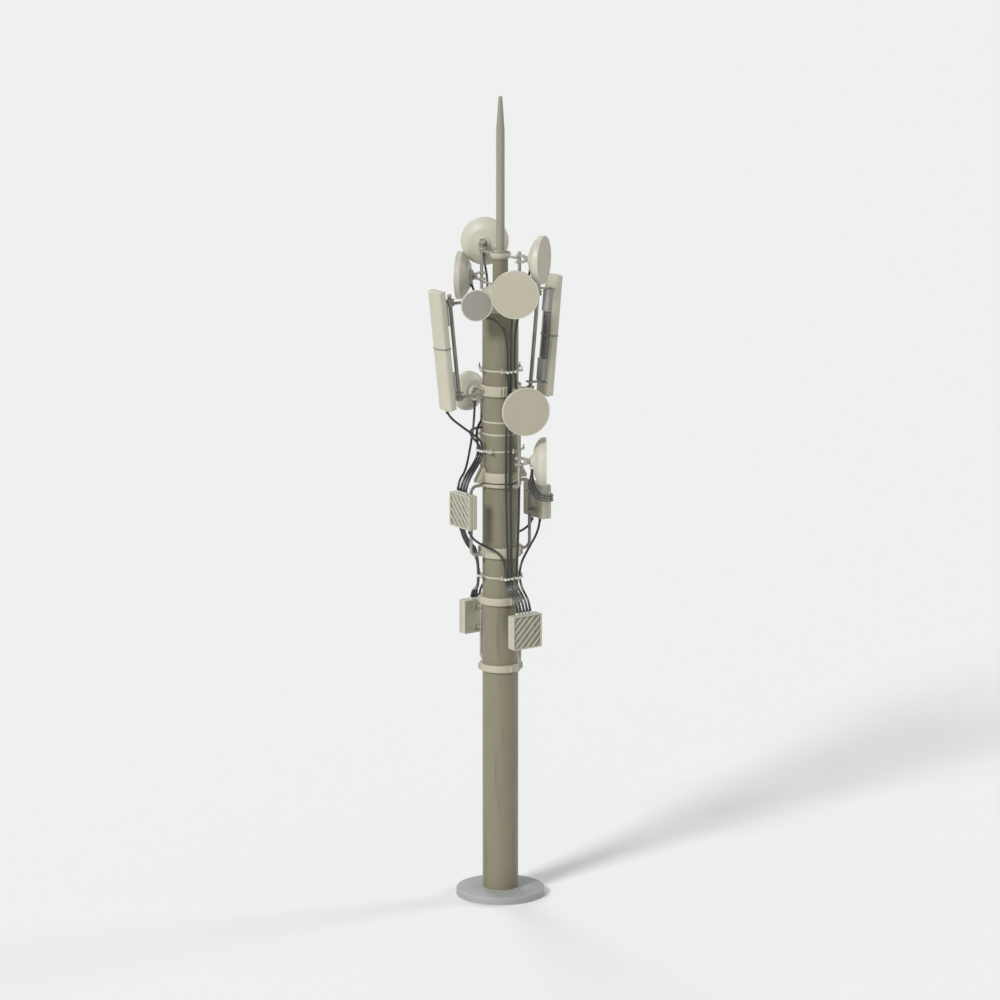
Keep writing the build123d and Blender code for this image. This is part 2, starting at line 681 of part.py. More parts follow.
# Two arms hold each pipe: the upper to the cap's skirt, the lower, which slopes down, to the
# panel band. Each ends in a block bored for the tilted pipe, and the lower starts in a wide
# socket. The left upper arm carries an upright stub for a small dish.
with BuildPart() as panel_arms:
    for side_name in PANELS:
        angle = PANELS[side_name][0]
        drop = PANEL_ARM_SLOPE_DROP
        for arm_height, end_height in (
            (PANEL_UPPER_ARM_HEIGHT, PANEL_UPPER_ARM_HEIGHT),
            (PANEL_LOWER_ARM_HEIGHT, PANEL_LOWER_ARM_HEIGHT - drop),
        ):
            pipe_radius, along = panel_pipe_place(side_name, end_height)
            tip = at(angle, pipe_radius, end_height)
            add_rod(at(angle, 0, arm_height), tip, PANEL_ARM_DIAMETER)
            with BuildSketch(pipe_plane(side_name, along - PANEL_ARM_CLAMP / 2)) as block:
                Rectangle(PANEL_ARM_CLAMP, PANEL_ARM_CLAMP)
                chamfer(block.vertices(), CLAMP_CORNER)
            extrude(block.sketch, amount=PANEL_ARM_CLAMP)
        socket_diameter, socket_length = PANEL_ARM_SOCKET
        with BuildSketch(upright(angle, at(angle, 0, PANEL_LOWER_ARM_HEIGHT))) as socket:
            RegularPolygon(socket_diameter / 2, PIPE_SIDES)
        extrude(socket.sketch, amount=BAND_RADIUS + socket_length)
        with BuildSketch(pipe_plane(side_name, -PANEL_LENGTH / 2)) as bore:
            RegularPolygon(PANEL_PIPE_DIAMETER / 2 + FIT, PIPE_SIDES)
        extrude(bore.sketch, amount=PANEL_LENGTH, mode=Mode.SUBTRACT)
    stub_foot = LEFT_STUB + UP * (PANEL_UPPER_ARM_HEIGHT - STUB_LENGTH / 2)
    add_rod(stub_foot, stub_foot + UP * STUB_LENGTH, PIPE_DIAMETER)
    with BuildSketch(Plane.XY.offset(PANEL_UPPER_ARM_HEIGHT - PANEL_ARM_CLAMP)) as skirt:
        RegularPolygon(CAP_RADIUS, ROUND_SIDES, major_radius=False, rotation=CAP_TURN)
    extrude(skirt.sketch, amount=2 * PANEL_ARM_CLAMP, mode=Mode.SUBTRACT)
    with BuildSketch(Plane.XY.offset(PANEL_LOWER_ARM_HEIGHT - PANEL_ARM_CLAMP)) as rim:
        RegularPolygon(BAND_RADIUS, BAND_SIDES, rotation=BAND_TURN)
    extrude(rim.sketch, amount=2 * PANEL_ARM_CLAMP, mode=Mode.SUBTRACT)
save("panel_arms", panel_arms)

# Brackets between pipe and panel: V-block clamps on the pipe and a plate across the spine.
with BuildPart() as panel_brackets:
    for side_name in PANELS:
        gap = PANELS[side_name][4]
        arm_along = panel_pipe_place(side_name, PANEL_UPPER_ARM_HEIGHT)[1]
        spine_end = SPINE_LENGTH / 2
        low = -spine_end - PANEL_BRACKET_SPACE - CLAMP_HEIGHT
        high = max(spine_end, arm_along + PANEL_ARM_CLAMP / 2) + PANEL_BRACKET_SPACE
        for along in (low, high):
            clamp_plane = pipe_plane(side_name, along)
            add_v_block(clamp_plane, PANEL_PIPE_DIAMETER / 2, 1)
            add_v_block(clamp_plane, PANEL_PIPE_DIAMETER / 2, -1)
            web_start = CLAMP_DEPTH / 2
            web_end = gap - PANEL_DEPTH / 2
            with BuildSketch(clamp_plane) as web:
                with Locations(((web_start + web_end) / 2, 0)):
                    Rectangle(web_end - web_start, CHEEK_GAP)
                with Locations((web_end - CHEEK_THICKNESS / 2, 0)):
                    Rectangle(CHEEK_THICKNESS, PANEL_WIDTH * 0.8)
            extrude(web.sketch, amount=CLAMP_HEIGHT)
save("panel_brackets", panel_brackets)

# ---- Remote radio boxes -------------------------------------------------------------


def build_radio(angle, centre, rib_slope):
    """A rounded box whose front is a frame round a recess with slanting ribs."""
    radius, height = centre
    back = at(angle, radius - RADIO_DEPTH / 2, height)
    floor = RADIO_DEPTH - RADIO_RECESS
    field_width = RADIO_WIDTH - 2 * RADIO_FRAME
    field_height = RADIO_HEIGHT - 2 * RADIO_FRAME
    rib_step = RIB_PITCH * 2 ** 0.5
    rib_count = int((field_width + field_height) / rib_step / 2)
    with BuildPart() as box:
        with BuildSketch(upright(angle, back)) as outline:
            RectangleRounded(RADIO_WIDTH, RADIO_HEIGHT, RADIO_CORNER)
        extrude(outline.sketch, amount=RADIO_DEPTH)
        with BuildSketch(upright(angle, back + heading(angle) * floor)) as recess:
            Rectangle(field_width, field_height)
        extrude(recess.sketch, amount=RADIO_RECESS, mode=Mode.SUBTRACT)
        with BuildSketch(upright(angle, back + heading(angle) * floor)) as ribs:
            for step in range(-rib_count, rib_count + 1):
                with Locations(Location((step * rib_step, 0), 45 * rib_slope)):
                    Rectangle(field_width + field_height, RIB_WIDTH)
            Rectangle(field_width, field_height, mode=Mode.INTERSECT)
        extrude(ribs.sketch, amount=RIB_HEIGHT)
    return box


save("upper_left_radio", build_radio(-90, UPPER_RADIO_CENTRE, -1))
save("upper_right_radio", build_radio(90, UPPER_RADIO_CENTRE, -1))
save("lower_front_radio", build_radio(0, LOWER_RADIO_CENTRE, 1))
save("lower_rear_radio", build_radio(180, LOWER_RADIO_CENTRE, 1))

UPPER_RADIO_PIPE_REACH = UPPER_RADIO_CENTRE[0] - RADIO_DEPTH / 2 - RADIO_PIPE_GAP
LOWER_RADIO_PIPE_REACH = LOWER_RADIO_CENTRE[0] - RADIO_DEPTH / 2 - RADIO_PIPE_GAP

with BuildPart() as upper_radio_pipes:
    for angle in (-90, 90):
        add_c_pipe(angle, UPPER_RADIO_PIPE_REACH, *UPPER_RADIO_PIPE)
save("upper_radio_pipes", upper_radio_pipes)

with BuildPart() as lower_radio_pipes:
    for angle in (0, 180):
        add_c_pipe(angle, LOWER_RADIO_PIPE_REACH, *LOWER_RADIO_PIPE)
save("lower_radio_pipes", lower_radio_pipes)

with BuildPart() as radio_brackets:
    plate_width, plate_height, plate_thickness = RADIO_BRACKET_PLATE
    for angle, reach, centre_height in (
        (-90, UPPER_RADIO_PIPE_REACH, UPPER_RADIO_CENTRE[1]),
        (90, UPPER_RADIO_PIPE_REACH, UPPER_RADIO_CENTRE[1]),
        (0, LOWER_RADIO_PIPE_REACH, LOWER_RADIO_CENTRE[1]),
        (180, LOWER_RADIO_PIPE_REACH, LOWER_RADIO_CENTRE[1]),
    ):
        for offset in (-RADIO_BRACKET_SPACING / 2, RADIO_BRACKET_SPACING / 2):
            centre = at(angle, reach, centre_height + offset)
            clamp_plane = level(angle, centre - UP * CLAMP_HEIGHT / 2)
            add_v_block(clamp_plane, PIPE_RADIUS, 1)
            add_v_block(clamp_plane, PIPE_RADIUS, -1)
            plate_back = centre + heading(angle) * (CLAMP_DEPTH / 2)
            with BuildSketch(upright(angle, plate_back)) as plate:
                Rectangle(plate_width, plate_height)
            extrude(plate.sketch, amount=RADIO_PIPE_GAP - CLAMP_DEPTH / 2)
save("radio_brackets", radio_brackets)

# ---- Feeder cables ------------------------------------------------------------------

LOWER_RING, MIDDLE_RING, UPPER_RING = (bottom for bottom, first_bar in GUIDE_RINGS)
CLIPPED = GUIDE_FACE + CABLE_RADIUS + 1  # axis of a cable on a guide bar
UPPER_RADIO_TOP = UPPER_RADIO_CENTRE[1] + RADIO_HEIGHT / 2
UPPER_RADIO_FOOT = UPPER_RADIO_CENTRE[1] - RADIO_HEIGHT / 2
LOWER_RADIO_TOP = LOWER_RADIO_CENTRE[1] + RADIO_HEIGHT / 2


def add_cable(*points):
    add_tube(points, CABLE_BEND, CABLE_RADIUS, CABLE_SIDES)


def hub_point(dish, angle, away=0):
    """A point on or away from the rim of a dish's hub boss, turned from its right."""
    pipe, height, look, standoff, size = DISHES[dish]
    side = (HUB_RADIUS + away) * cos(radians(angle))
    rise = (HUB_RADIUS + away) * sin(radians(angle))
    return pipe + at(look, standoff + HUB_HEIGHT - CABLE_RADIUS - 1, height + rise, side)


def hub_lead(dish, angle):
    """The straight start of a cable that leaves a dish's hub boss."""
    return hub_point(dish, angle), hub_point(dish, angle, GLAND_LEAD)


def radio_end(angle, reach, top, side):
    """The straight end of a cable that drops into the top of a radio box."""
    return at(angle, reach, top + 200, side), at(angle, reach, top, side)


# Three feeders run from the upper dishes down the front of the pole, and one from each upper
# radio joins them at the lower ring. All five end in the lower front radio.
LOWER_DROP = LOWER_RADIO_CENTRE[0] - 36
UPPER_DROP = UPPER_RADIO_CENTRE[0]
RING_FOOT = LOWER_RING - GLAND_LEAD
left_foot = at(-90, UPPER_DROP, UPPER_RADIO_FOOT, 199)
right_foot = at(90, UPPER_DROP, UPPER_RADIO_FOOT, -85)
FRONT_ROUTES = (
    (
        *hub_lead("left_arm_dish", 270),
        at(-42, 470, 11060),
        at(0, CLIPPED, 10700, -124),
        at(0, CLIPPED, 9950, -120),
        at(0, CLIPPED, 9740, -96),
        at(0, CLIPPED, 8900, -165),
        at(0, CLIPPED, 7760, -165),
        at(0, CLIPPED, RING_FOOT, -99),
        *radio_end(0, LOWER_DROP, LOWER_RADIO_TOP, -76),
    ),
    (
        *hub_lead("front_upper_dish", 270),
        at(0, CLIPPED, 11000, -52),
        at(0, CLIPPED, 10100, -44),
        at(0, CLIPPED, 9100, -62),
        at(0, CLIPPED, 7760, -62),
        at(0, CLIPPED, RING_FOOT, -20),
        *radio_end(0, LOWER_DROP, LOWER_RADIO_TOP, -4),
    ),
    (
        *hub_lead("front_top_dish", 270),
        at(0, CLIPPED + 60, 11150, 96),
        at(0, CLIPPED, 10800, 40),
        at(0, CLIPPED, 10100, 34),
        at(0, CLIPPED, 9750, 64),
        at(0, CLIPPED, 9300, 142),
        at(0, CLIPPED, 7600, 142),
        at(0, CLIPPED, RING_FOOT, 70),
        *radio_end(0, LOWER_DROP, LOWER_RADIO_TOP, 66),
    ),
    (
        left_foot,
        left_foot - UP * GLAND_LEAD,
        Vector(-590, -197, 6821),
        Vector(-290, -360, 6671),
        at(0, CLIPPED + 4, 6422, -172),
        at(0, CLIPPED, RING_FOOT, -165),
        *radio_end(0, LOWER_DROP, LOWER_RADIO_TOP, -150),
    ),
    (
        right_foot,
        right_foot - UP * 230,
        Vector(350, -340, 6590),
        at(0, CLIPPED + 4, 6360, 146),
        at(0, CLIPPED, RING_FOOT, 150),
        *radio_end(0, LOWER_DROP, LOWER_RADIO_TOP, 136),
    ),
)
with BuildPart() as front_feeder_cables:
    for route in FRONT_ROUTES:
        add_cable(*route)
save("front_feeder_cables", front_feeder_cables)

# Three feeders meet on the middle ring's left bar and drop to the upper left radio: one from
# the left panel's foot, one from the lower rear dish and one from the top rear dish. A
# fourth hangs from the middle rear dish to the same radio.
panel_foot = panel_plane("left", -PANEL_LENGTH / 2).origin
panel_lead = panel_plane("left", -PANEL_LENGTH / 2 - GLAND_LEAD).origin
LEFT_ROUTES = (
    (
        panel_foot,
        panel_lead,
        at(-90, 830, 9010, 30),
        at(-90, 470, 8760, 20),
        at(-90, CLIPPED, MIDDLE_RING + GLAND_LEAD, 6),
        at(-90, CLIPPED, MIDDLE_RING - GLAND_LEAD, 4),
        *radio_end(-90, UPPER_DROP, UPPER_RADIO_TOP, 88),
    ),
    (
        *hub_lead("rear_lower_dish", 90),
        at(171, 490, 8860),
        at(-150, 610, 8850),
        at(-106, 590, 8820),
        at(-90, CLIPPED, MIDDLE_RING + GLAND_LEAD, -66),
        at(-90, CLIPPED, MIDDLE_RING - GLAND_LEAD, -66),
        *radio_end(-90, UPPER_DROP, UPPER_RADIO_TOP, 5),
    ),
    (
        *hub_lead("rear_top_dish", 270),
        at(170, 520, 11560),
        at(180, CLIPPED + 20, 11000, 64),
        at(180, CLIPPED + 20, 9080, 64),
        at(-140, 470, 8860),
        at(-90, CLIPPED + 6, MIDDLE_RING + 150, -132),
        at(-90, CLIPPED, MIDDLE_RING - GLAND_LEAD, -134),
        *radio_end(-90, UPPER_DROP, UPPER_RADIO_TOP, -78),
    ),
    (
        *hub_lead("rear_middle_dish", 270),
        Vector(-80, 750, 8861),
        Vector(-240, 620, 8495),
        Vector(-600, 260, 8130),
        *radio_end(-90, UPPER_DROP, UPPER_RADIO_TOP, -165),
    ),
)
with BuildPart() as left_feeder_cables:
    for route in LEFT_ROUTES:
        add_cable(*route)
save("left_feeder_cables", left_feeder_cables)

# Three feeders run from the lower front dish round into the side of the upper right radio.
with BuildPart() as right_feeder_cables:
    for step in (-1, 0, 1):
        gland = at(90, 890, UPPER_RADIO_CENTRE[1] + 95 + 50 * step, -RADIO_WIDTH / 2)
        add_cable(
            *hub_lead("front_lower_dish", 270 + 30 * step),
            Vector(215 + 55 * step, -670, 7940 + 20 * step),
            Vector(420 + 35 * step, -600, 7680 + 45 * step),
            Vector(650, -540, 7600 + 50 * step),
            gland + Vector(0, -GLAND_LEAD, 0),
            gland,
        )
save("right_feeder_cables", right_feeder_cables)

# The lower rear radio takes a feeder from the upper rear dish, three from the upper left radio
# past the lower ring's left bar, and one from the upper right radio past its right bar.
right_rear_foot = at(90, UPPER_DROP - 50, UPPER_RADIO_FOOT, 90)
REAR_ROUTES = [
    (
        *hub_lead("rear_upper_dish", 270),
        at(180, CLIPPED + 40, 11000, -64),
        at(180, CLIPPED + 20, RING_FOOT, -64),
        *radio_end(180, LOWER_DROP, LOWER_RADIO_TOP, -52),
    ),
    (
        right_rear_foot,
        right_rear_foot - UP * GLAND_LEAD,
        Vector(590, 90, 6900),
        Vector(450, 120, 6860),
        at(120, CLIPPED, 6480, -60),
        at(120, CLIPPED, RING_FOOT, -20),
        *radio_end(180, LOWER_DROP, LOWER_RADIO_TOP, -120),
    ),
]
for step in (-1, 0, 1):
    left_rear_foot = at(-90, UPPER_DROP - 60, UPPER_RADIO_FOOT, 54 * step - 116)
    past_bar = RING_FOOT - (step + 1) * GLAND_LEAD / 2
    REAR_ROUTES.append(
        (
            left_rear_foot,
            left_rear_foot - UP * GLAND_LEAD,
            Vector(-620, 122 - 54 * step, 6760 + 30 * step),
            Vector(-460, 190 - 54 * step, 6660 + 30 * step),
            at(-120, CLIPPED, LOWER_RING + 2 * GLAND_LEAD, 54 * step),
            at(-120, CLIPPED, past_bar, 54 * step),
            *radio_end(180, LOWER_DROP, LOWER_RADIO_TOP, 66 + 56 * step),
        )
    )
with BuildPart() as rear_feeder_cables:
    for route in REAR_ROUTES:
        add_cable(*route)
save("rear_feeder_cables", rear_feeder_cables)
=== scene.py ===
import json
from math import cos, pi, radians, sin, tau

import bmesh
import bpy
from bmesh.types import BMEdge, BMVert
from mathutils import Matrix, Vector

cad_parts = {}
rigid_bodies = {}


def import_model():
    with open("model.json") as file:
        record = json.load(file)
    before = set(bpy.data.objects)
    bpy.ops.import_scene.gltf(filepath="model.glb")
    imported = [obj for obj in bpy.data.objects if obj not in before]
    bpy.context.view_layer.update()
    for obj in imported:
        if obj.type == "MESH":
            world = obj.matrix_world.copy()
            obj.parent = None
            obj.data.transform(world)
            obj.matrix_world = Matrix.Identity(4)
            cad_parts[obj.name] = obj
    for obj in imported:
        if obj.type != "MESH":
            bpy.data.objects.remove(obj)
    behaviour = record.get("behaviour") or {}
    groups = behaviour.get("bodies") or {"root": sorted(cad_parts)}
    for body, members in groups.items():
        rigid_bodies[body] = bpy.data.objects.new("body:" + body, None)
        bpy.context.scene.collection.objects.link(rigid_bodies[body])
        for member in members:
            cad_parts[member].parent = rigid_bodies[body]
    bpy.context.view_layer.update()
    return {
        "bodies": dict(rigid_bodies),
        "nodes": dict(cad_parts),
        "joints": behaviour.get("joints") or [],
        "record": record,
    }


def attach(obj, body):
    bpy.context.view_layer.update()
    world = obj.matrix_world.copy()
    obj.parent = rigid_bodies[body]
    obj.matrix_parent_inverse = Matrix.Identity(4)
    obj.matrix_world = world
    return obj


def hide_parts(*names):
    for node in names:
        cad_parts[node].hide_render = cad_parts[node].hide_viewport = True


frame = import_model()


# ---- Camera, lamps and floor --------------------------------------------------------
# A long lens a hundred metres off looks slightly down on the whole mast. One broad soft sun
# stands to the left of it, weak ones to the right and behind, and a pale sky fills the rest.

VIEW_TURN = -35
VIEW_RISE = 12.5
VIEW_DISTANCE = 111
VIEW_CENTRE = Vector((0, 0, 7.555))
SENSOR = 36
FLOOR_HALF = 400


def towards(turn, rise):
    """The direction of a turn from the front and a rise above level, in degrees."""
    turn, rise = radians(turn), radians(rise)
    return Vector((sin(turn) * cos(rise), -cos(turn) * cos(rise), sin(rise)))


def show(name, data):
    """An object made of some data, linked into the scene."""
    made = bpy.data.objects.new(name, data)
    bpy.context.scene.collection.objects.link(made)
    return made


view_line = towards(VIEW_TURN, VIEW_RISE)
camera_data = bpy.data.cameras.new("camera")
camera_data.sensor_width = SENSOR
camera_data.lens = 6 * SENSOR
camera_data.clip_end = 2000
camera_data.shift_x = -0.0004
camera = show("camera", camera_data)
camera.location = VIEW_CENTRE + view_line * VIEW_DISTANCE
camera.rotation_euler = (-view_line).to_track_quat("-Z", "Y").to_euler()
bpy.context.scene.camera = camera
bpy.context.scene.view_settings.view_transform = "Standard"


def add_sun(name, turn, rise, strength, softness):
    """A broad soft sun that shines from a turn and a rise."""
    lamp = bpy.data.lights.new(name, "SUN")
    lamp.energy = strength
    lamp.angle = radians(softness)
    show(name, lamp).rotation_euler = towards(turn, rise).to_track_quat("Z", "Y").to_euler()


add_sun("key_sun", -72, 34, 2.4, 14)
add_sun("edge_sun", 82, 22, 0.9, 20)
add_sun("rear_sun", 165, 30, 0.7, 24)

world = bpy.data.worlds.new("pale_sky")
world.use_nodes = True
sky = world.node_tree.nodes["Background"]
sky.inputs["Color"].default_value = (0.86, 0.88, 0.9, 1)
sky.inputs["Strength"].default_value = 0.46
bpy.context.scene.world = world


def new_material(name):
    """A material, its node tree and its shader."""
    material = bpy.data.materials.new(name)
    material.use_nodes = True
    return material, material.node_tree, material.node_tree.nodes["Principled BSDF"]


floor_paint, tree, shader = new_material("floor_paint")
shader.inputs["Base Color"].default_value = (0.82, 0.82, 0.81, 1)
shader.inputs["Roughness"].default_value = 0.9
floor_mesh = bpy.data.meshes.new("floor")
floor_bm = bmesh.new()
bmesh.ops.create_grid(floor_bm, x_segments=1, y_segments=1, size=FLOOR_HALF)
floor_bm.to_mesh(floor_mesh)
floor_bm.free()
floor_mesh.materials.append(floor_paint)
floor = show("floor", floor_mesh)


# ---- Footing ------------------------------------------------------------------------
# A heavy cast disc that the mast stands on, turned flat on top with a low round seat for the
# pole, eased round its rim and painted grey.

FOOTING_RADIUS = 0.825
FOOTING_HEIGHT = 0.135
FOOTING_EDGE = 0.014
SEAT_RADIUS = 0.352
SEAT_RISE = 0.004


def node_group(name, inputs, outputs):
    """An empty group of shader nodes with number sockets, and its input and output nodes."""
    group = bpy.data.node_groups.new(name, "ShaderNodeTree")
    for socket, value in inputs.items():
        entry = group.interface.new_socket(name=socket, in_out="INPUT", socket_type="NodeSocketFloat")
        entry.default_value = value
    for socket in outputs:
        group.interface.new_socket(name=socket, in_out="OUTPUT", socket_type="NodeSocketFloat")
    return group, group.nodes.new("NodeGroupInput"), group.nodes.new("NodeGroupOutput")


def feed(tree, node, inputs):
    """Give each named input of a node a value, or a link from another node and its output."""
    for socket, value in inputs.items():
        if isinstance(value, tuple) and isinstance(value[0], bpy.types.Node):
            source, output = value
            tree.links.new(source.outputs[output], node.inputs[socket])
        else:
            node.inputs[socket].default_value = value


def add_node(tree, kind, inputs=None, **settings):
    """A shader node with its settings and inputs."""
    node = tree.nodes.new("ShaderNode" + kind)
    for setting, value in settings.items():
        setattr(node, setting, value)
    feed(tree, node, inputs or {})
    return node


def reckon(tree, operation, *values):
    """A node that does a sum on its values."""
    return add_node(tree, "Math", dict(enumerate(values)), operation=operation)


def blend(tree, under, over, mask):
    """A node that lays one colour over another where a mask shows it."""
    return add_node(tree, "Mix", {"A": under, "B": over, "Factor": mask}, data_type="RGBA")


# Rain runs down an upright surface and leaves streaks of grime with soft edges.
group, inside, result = node_group("rain_streaks", {"Width": 14.0, "Length": 0.7, "Spread": 0.5}, ["Mask"])
rain_streaks = group
place = add_node(group, "TexCoord")
split = add_node(group, "SeparateXYZ", {0: (place, "Object")})
across = reckon(group, "MULTIPLY", (split, "X"), (inside, "Width"))
deep = reckon(group, "MULTIPLY", (split, "Y"), (inside, "Width"))
along = reckon(group, "MULTIPLY", (split, "Z"), (inside, "Length"))
stretch = add_node(group, "CombineXYZ", {"X": (across, 0), "Y": (deep, 0), "Z": (along, 0)})
runs = add_node(group, "TexNoise", {"Vector": (stretch, 0), "Scale": 1.0, "Detail": 5.0, "Roughness": 0.6})
low_edge = reckon(group, "SUBTRACT", 0.85, (inside, "Spread"))
high_edge = reckon(group, "ADD", (low_edge, 0), 0.3)
edges = {"Value": (runs, "Fac"), "From Min": (low_edge, 0), "From Max": (high_edge, 0)}
soften = add_node(group, "MapRange", edges, interpolation_type="SMOOTHSTEP")
face_lean = add_node(group, "SeparateXYZ", {0: (place, "Normal")})
lean = reckon(group, "ABSOLUTE", (face_lean, "Z"))
upright = add_node(group, "MapRange", {"Value": (lean, 0), "To Min": 1.0, "To Max": 0.0})
upright_runs = reckon(group, "MULTIPLY", (soften, "Result"), (upright, "Result"))
feed(group, result, {"Mask": (upright_runs, 0)})

# Sprayed paint has a fine orange peel, and broad patches where it has faded unevenly.
skin_scales = {"Peel Scale": 260.0, "Patch Scale": 2.2}
group, inside, result = node_group("paint_skin", skin_scales, ["Peel", "Patches"])
paint_skin = group
spots = (add_node(group, "TexCoord"), "Object")
peel = add_node(group, "TexNoise", {"Vector": spots, "Scale": (inside, "Peel Scale"), "Detail": 2.0})
patch_inputs = {"Vector": spots, "Scale": (inside, "Patch Scale"), "Detail": 6.0, "Roughness": 0.55}
patches = add_node(group, "TexNoise", patch_inputs)
feed(group, result, {"Peel": (peel, "Fac"), "Patches": (patches, "Fac")})

# Handling and weather rub a finish thin along its edges, in uneven stretches. The paler edges are also a
# painted rim highlight.
group, inside, result = node_group("edge_wear_and_highlight", {"Width": 0.008, "Break Up": 18.0}, ["Mask"])
edge_wear_and_highlight = group
spots = (add_node(group, "TexCoord"), "Object")
surface = add_node(group, "NewGeometry")
rounded = add_node(group, "Bevel", {"Radius": (inside, "Width")})
normals = {0: (rounded, "Normal"), 1: (surface, "Normal")}
turn_away = add_node(group, "VectorMath", normals, operation="DOT_PRODUCT")
on_edge = add_node(group, "MapRange", {"Value": (turn_away, "Value"), "From Min": 0.995, "From Max": 0.9})
stretches = add_node(group, "TexNoise", {"Vector": spots, "Scale": (inside, "Break Up"), "Detail": 4.0})
stretch_range = {"Value": (stretches, "Fac"), "From Min": 0.3, "From Max": 0.6, "To Min": 0.25}
uneven = add_node(group, "MapRange", stretch_range)
rubbed_and_highlit = reckon(group, "MULTIPLY", (on_edge, "Result"), (uneven, "Result"))
feed(group, result, {"Mask": (rubbed_and_highlit, 0)})


def add_relief(tree, shader, skin, tone, height, shine, depth, strength):
    """Roughness between two values that follows a skin's tone, and bumps that follow its height."""
    sheen = add_node(tree, "MapRange", {"Value": (skin, tone), "To Min": shine[0], "To Max": shine[1]})
    bump = add_node(tree, "Bump", {"Height": (skin, height), "Distance": depth, "Strength": strength})
    feed(tree, shader, {"Roughness": (sheen, "Result"), "Normal": (bump, "Normal")})


def weathered(name, skin_group, tone, height, colours, rain, edge, shine, depth, strength, metal=0.0):
    """A finish: its colour, its second tone, the grime that rain leaves, and its paler edges, scuffed by
    handling and a painted rim highlight.
    """
    material, tree, shader = new_material(name)
    first, second, grime, worn_and_highlit = [(*colour, 1) for colour in colours]
    skin = add_node(tree, "Group", node_tree=skin_group)
    streaks = add_node(tree, "Group", rain, node_tree=rain_streaks)
    wear_and_highlight_mask = add_node(tree, "Group", {"Width": edge}, node_tree=edge_wear_and_highlight)
    faded = blend(tree, first, second, (skin, tone))
    soiled = blend(tree, (faded, "Result"), grime, (streaks, "Mask"))
    rubbed_and_highlit = blend(tree, (soiled, "Result"), worn_and_highlit, (wear_and_highlight_mask, "Mask"))
    feed(tree, shader, {"Metallic": metal, "Base Color": (rubbed_and_highlit, "Result")})
    add_relief(tree, shader, skin, tone, height, shine, depth, strength)
    return material


def painted(name, paint, faded, grime, streaking, gloss, peel_depth=0.0006, streak_width=14, edge=0.008):
    """Outdoor paint: it fades in patches, rain streaks it, and its edges are paler, partly scuffed and partly
    a painted rim highlight.
    """
    # The fourth colour is the paler edge tone: scuffed paint and a painted rim highlight.
    colours = (paint, faded, grime, [0.6 * part + 0.27 for part in paint])
    rain = {"Width": streak_width, "Spread": streaking}
    shine = (gloss - 0.1, gloss + 0.22)
    return weathered(name, paint_skin, "Patches", "Peel", colours, rain, edge, shine, peel_depth, 0.5)


def heading(angle):
    """Level direction, turned from the front towards the right."""
    return Vector((sin(radians(angle)), -cos(radians(angle)), 0))


def at(angle, radius, height, side=0.0):
    """A point radius out along a heading, side to its right seen from outside, at a height."""
    return heading(angle) * radius + heading(angle + 90) * side + Vector((0, 0, height))


def aim(origin, direction):
    """A place whose own upright axis points along a direction."""
    return Matrix.Translation(origin) @ Vector(direction).to_track_quat("Z", "Y").to_matrix().to_4x4()


def shift(place, x, y, z):
    """A place moved along its own axes."""
    return place @ Matrix.Translation((x, y, z))


def add_shape(piece, shape, place=Matrix()):
    """Close a small shape, put it in its place, and add it to a piece."""
    bmesh.ops.remove_doubles(shape, verts=shape.verts, dist=1e-5)
    bmesh.ops.recalc_face_normals(shape, faces=shape.faces)
    shape.transform(place)
    mesh = bpy.data.meshes.new("shape")
    shape.to_mesh(mesh)
    shape.free()
    piece.from_mesh(mesh)
    bpy.data.meshes.remove(mesh)


def near(radius, height, *steps):
    """Points of an outline, given as steps out and up from a radius and a height."""
    return [(radius + out, height + up) for out, up in steps]


def add_turned(piece, outline, place=Matrix(), steps=64):
    """Spin an outline of radius and height into a turned part, closing a ring's outline."""
    shape = bmesh.new()
    points = [shape.verts.new((radius, 0, height)) for radius, height in outline]
    ring = points[:1] if outline[0][0] or outline[-1][0] else []
    runs = [shape.edges.new(pair) for pair in zip(points, points[1:] + ring)]
    bmesh.ops.spin(
        shape, geom=points + runs, cent=(0, 0, 0), axis=(0, 0, 1), angle=tau, steps=steps, use_merge=True
    )
    add_shape(piece, shape, place)


def add_solid(piece, outline, place=Matrix(), steps=64):
    """Spin an outline into a turned solid with flat ends."""
    add_turned(piece, [(0, outline[0][1]), *outline, (0, outline[-1][1])], place, steps)


def ease_edges(shape, edges, width, segments=2):
    """Round a shape's edges off."""
    bmesh.ops.bevel(
        shape, geom=edges, offset=width, affect="EDGES", segments=segments, profile=0.5, material=-1
    )


def add_nut(piece, place, width, thickness):
    """A hexagon nut with chamfered corners, on the end of a short threaded stud."""
    add_solid(piece, [(width * 0.5, 0), (width * 0.5, thickness * 0.12)], place, 16)
    shape = bmesh.new()
    bmesh.ops.create_cone(
        shape, cap_ends=True, segments=6, radius1=width * 0.46, radius2=width * 0.46, depth=thickness
    )
    ease_edges(shape, shape.edges[:], width * 0.04, 1)
    add_shape(piece, shape, shift(place, 0, 0, thickness * 0.6))
    stud = [(0, 0), (width * 0.26, 0), (width * 0.26, thickness * 1.45), (0, thickness * 1.5)]
    add_turned(piece, stud, place, 10)


def finish(piece, name, material, stands_for=()):
    """Make an object of a finished piece that rides with the tower."""
    mesh = bpy.data.meshes.new(name)
    piece.to_mesh(mesh)
    piece.free()
    mesh.shade_smooth()
    mesh.set_sharp_from_angle(angle=radians(32))
    mesh.materials.append(material)
    made = show(name, mesh)
    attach(made, "root")
    if stands_for:
        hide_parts(*stands_for)
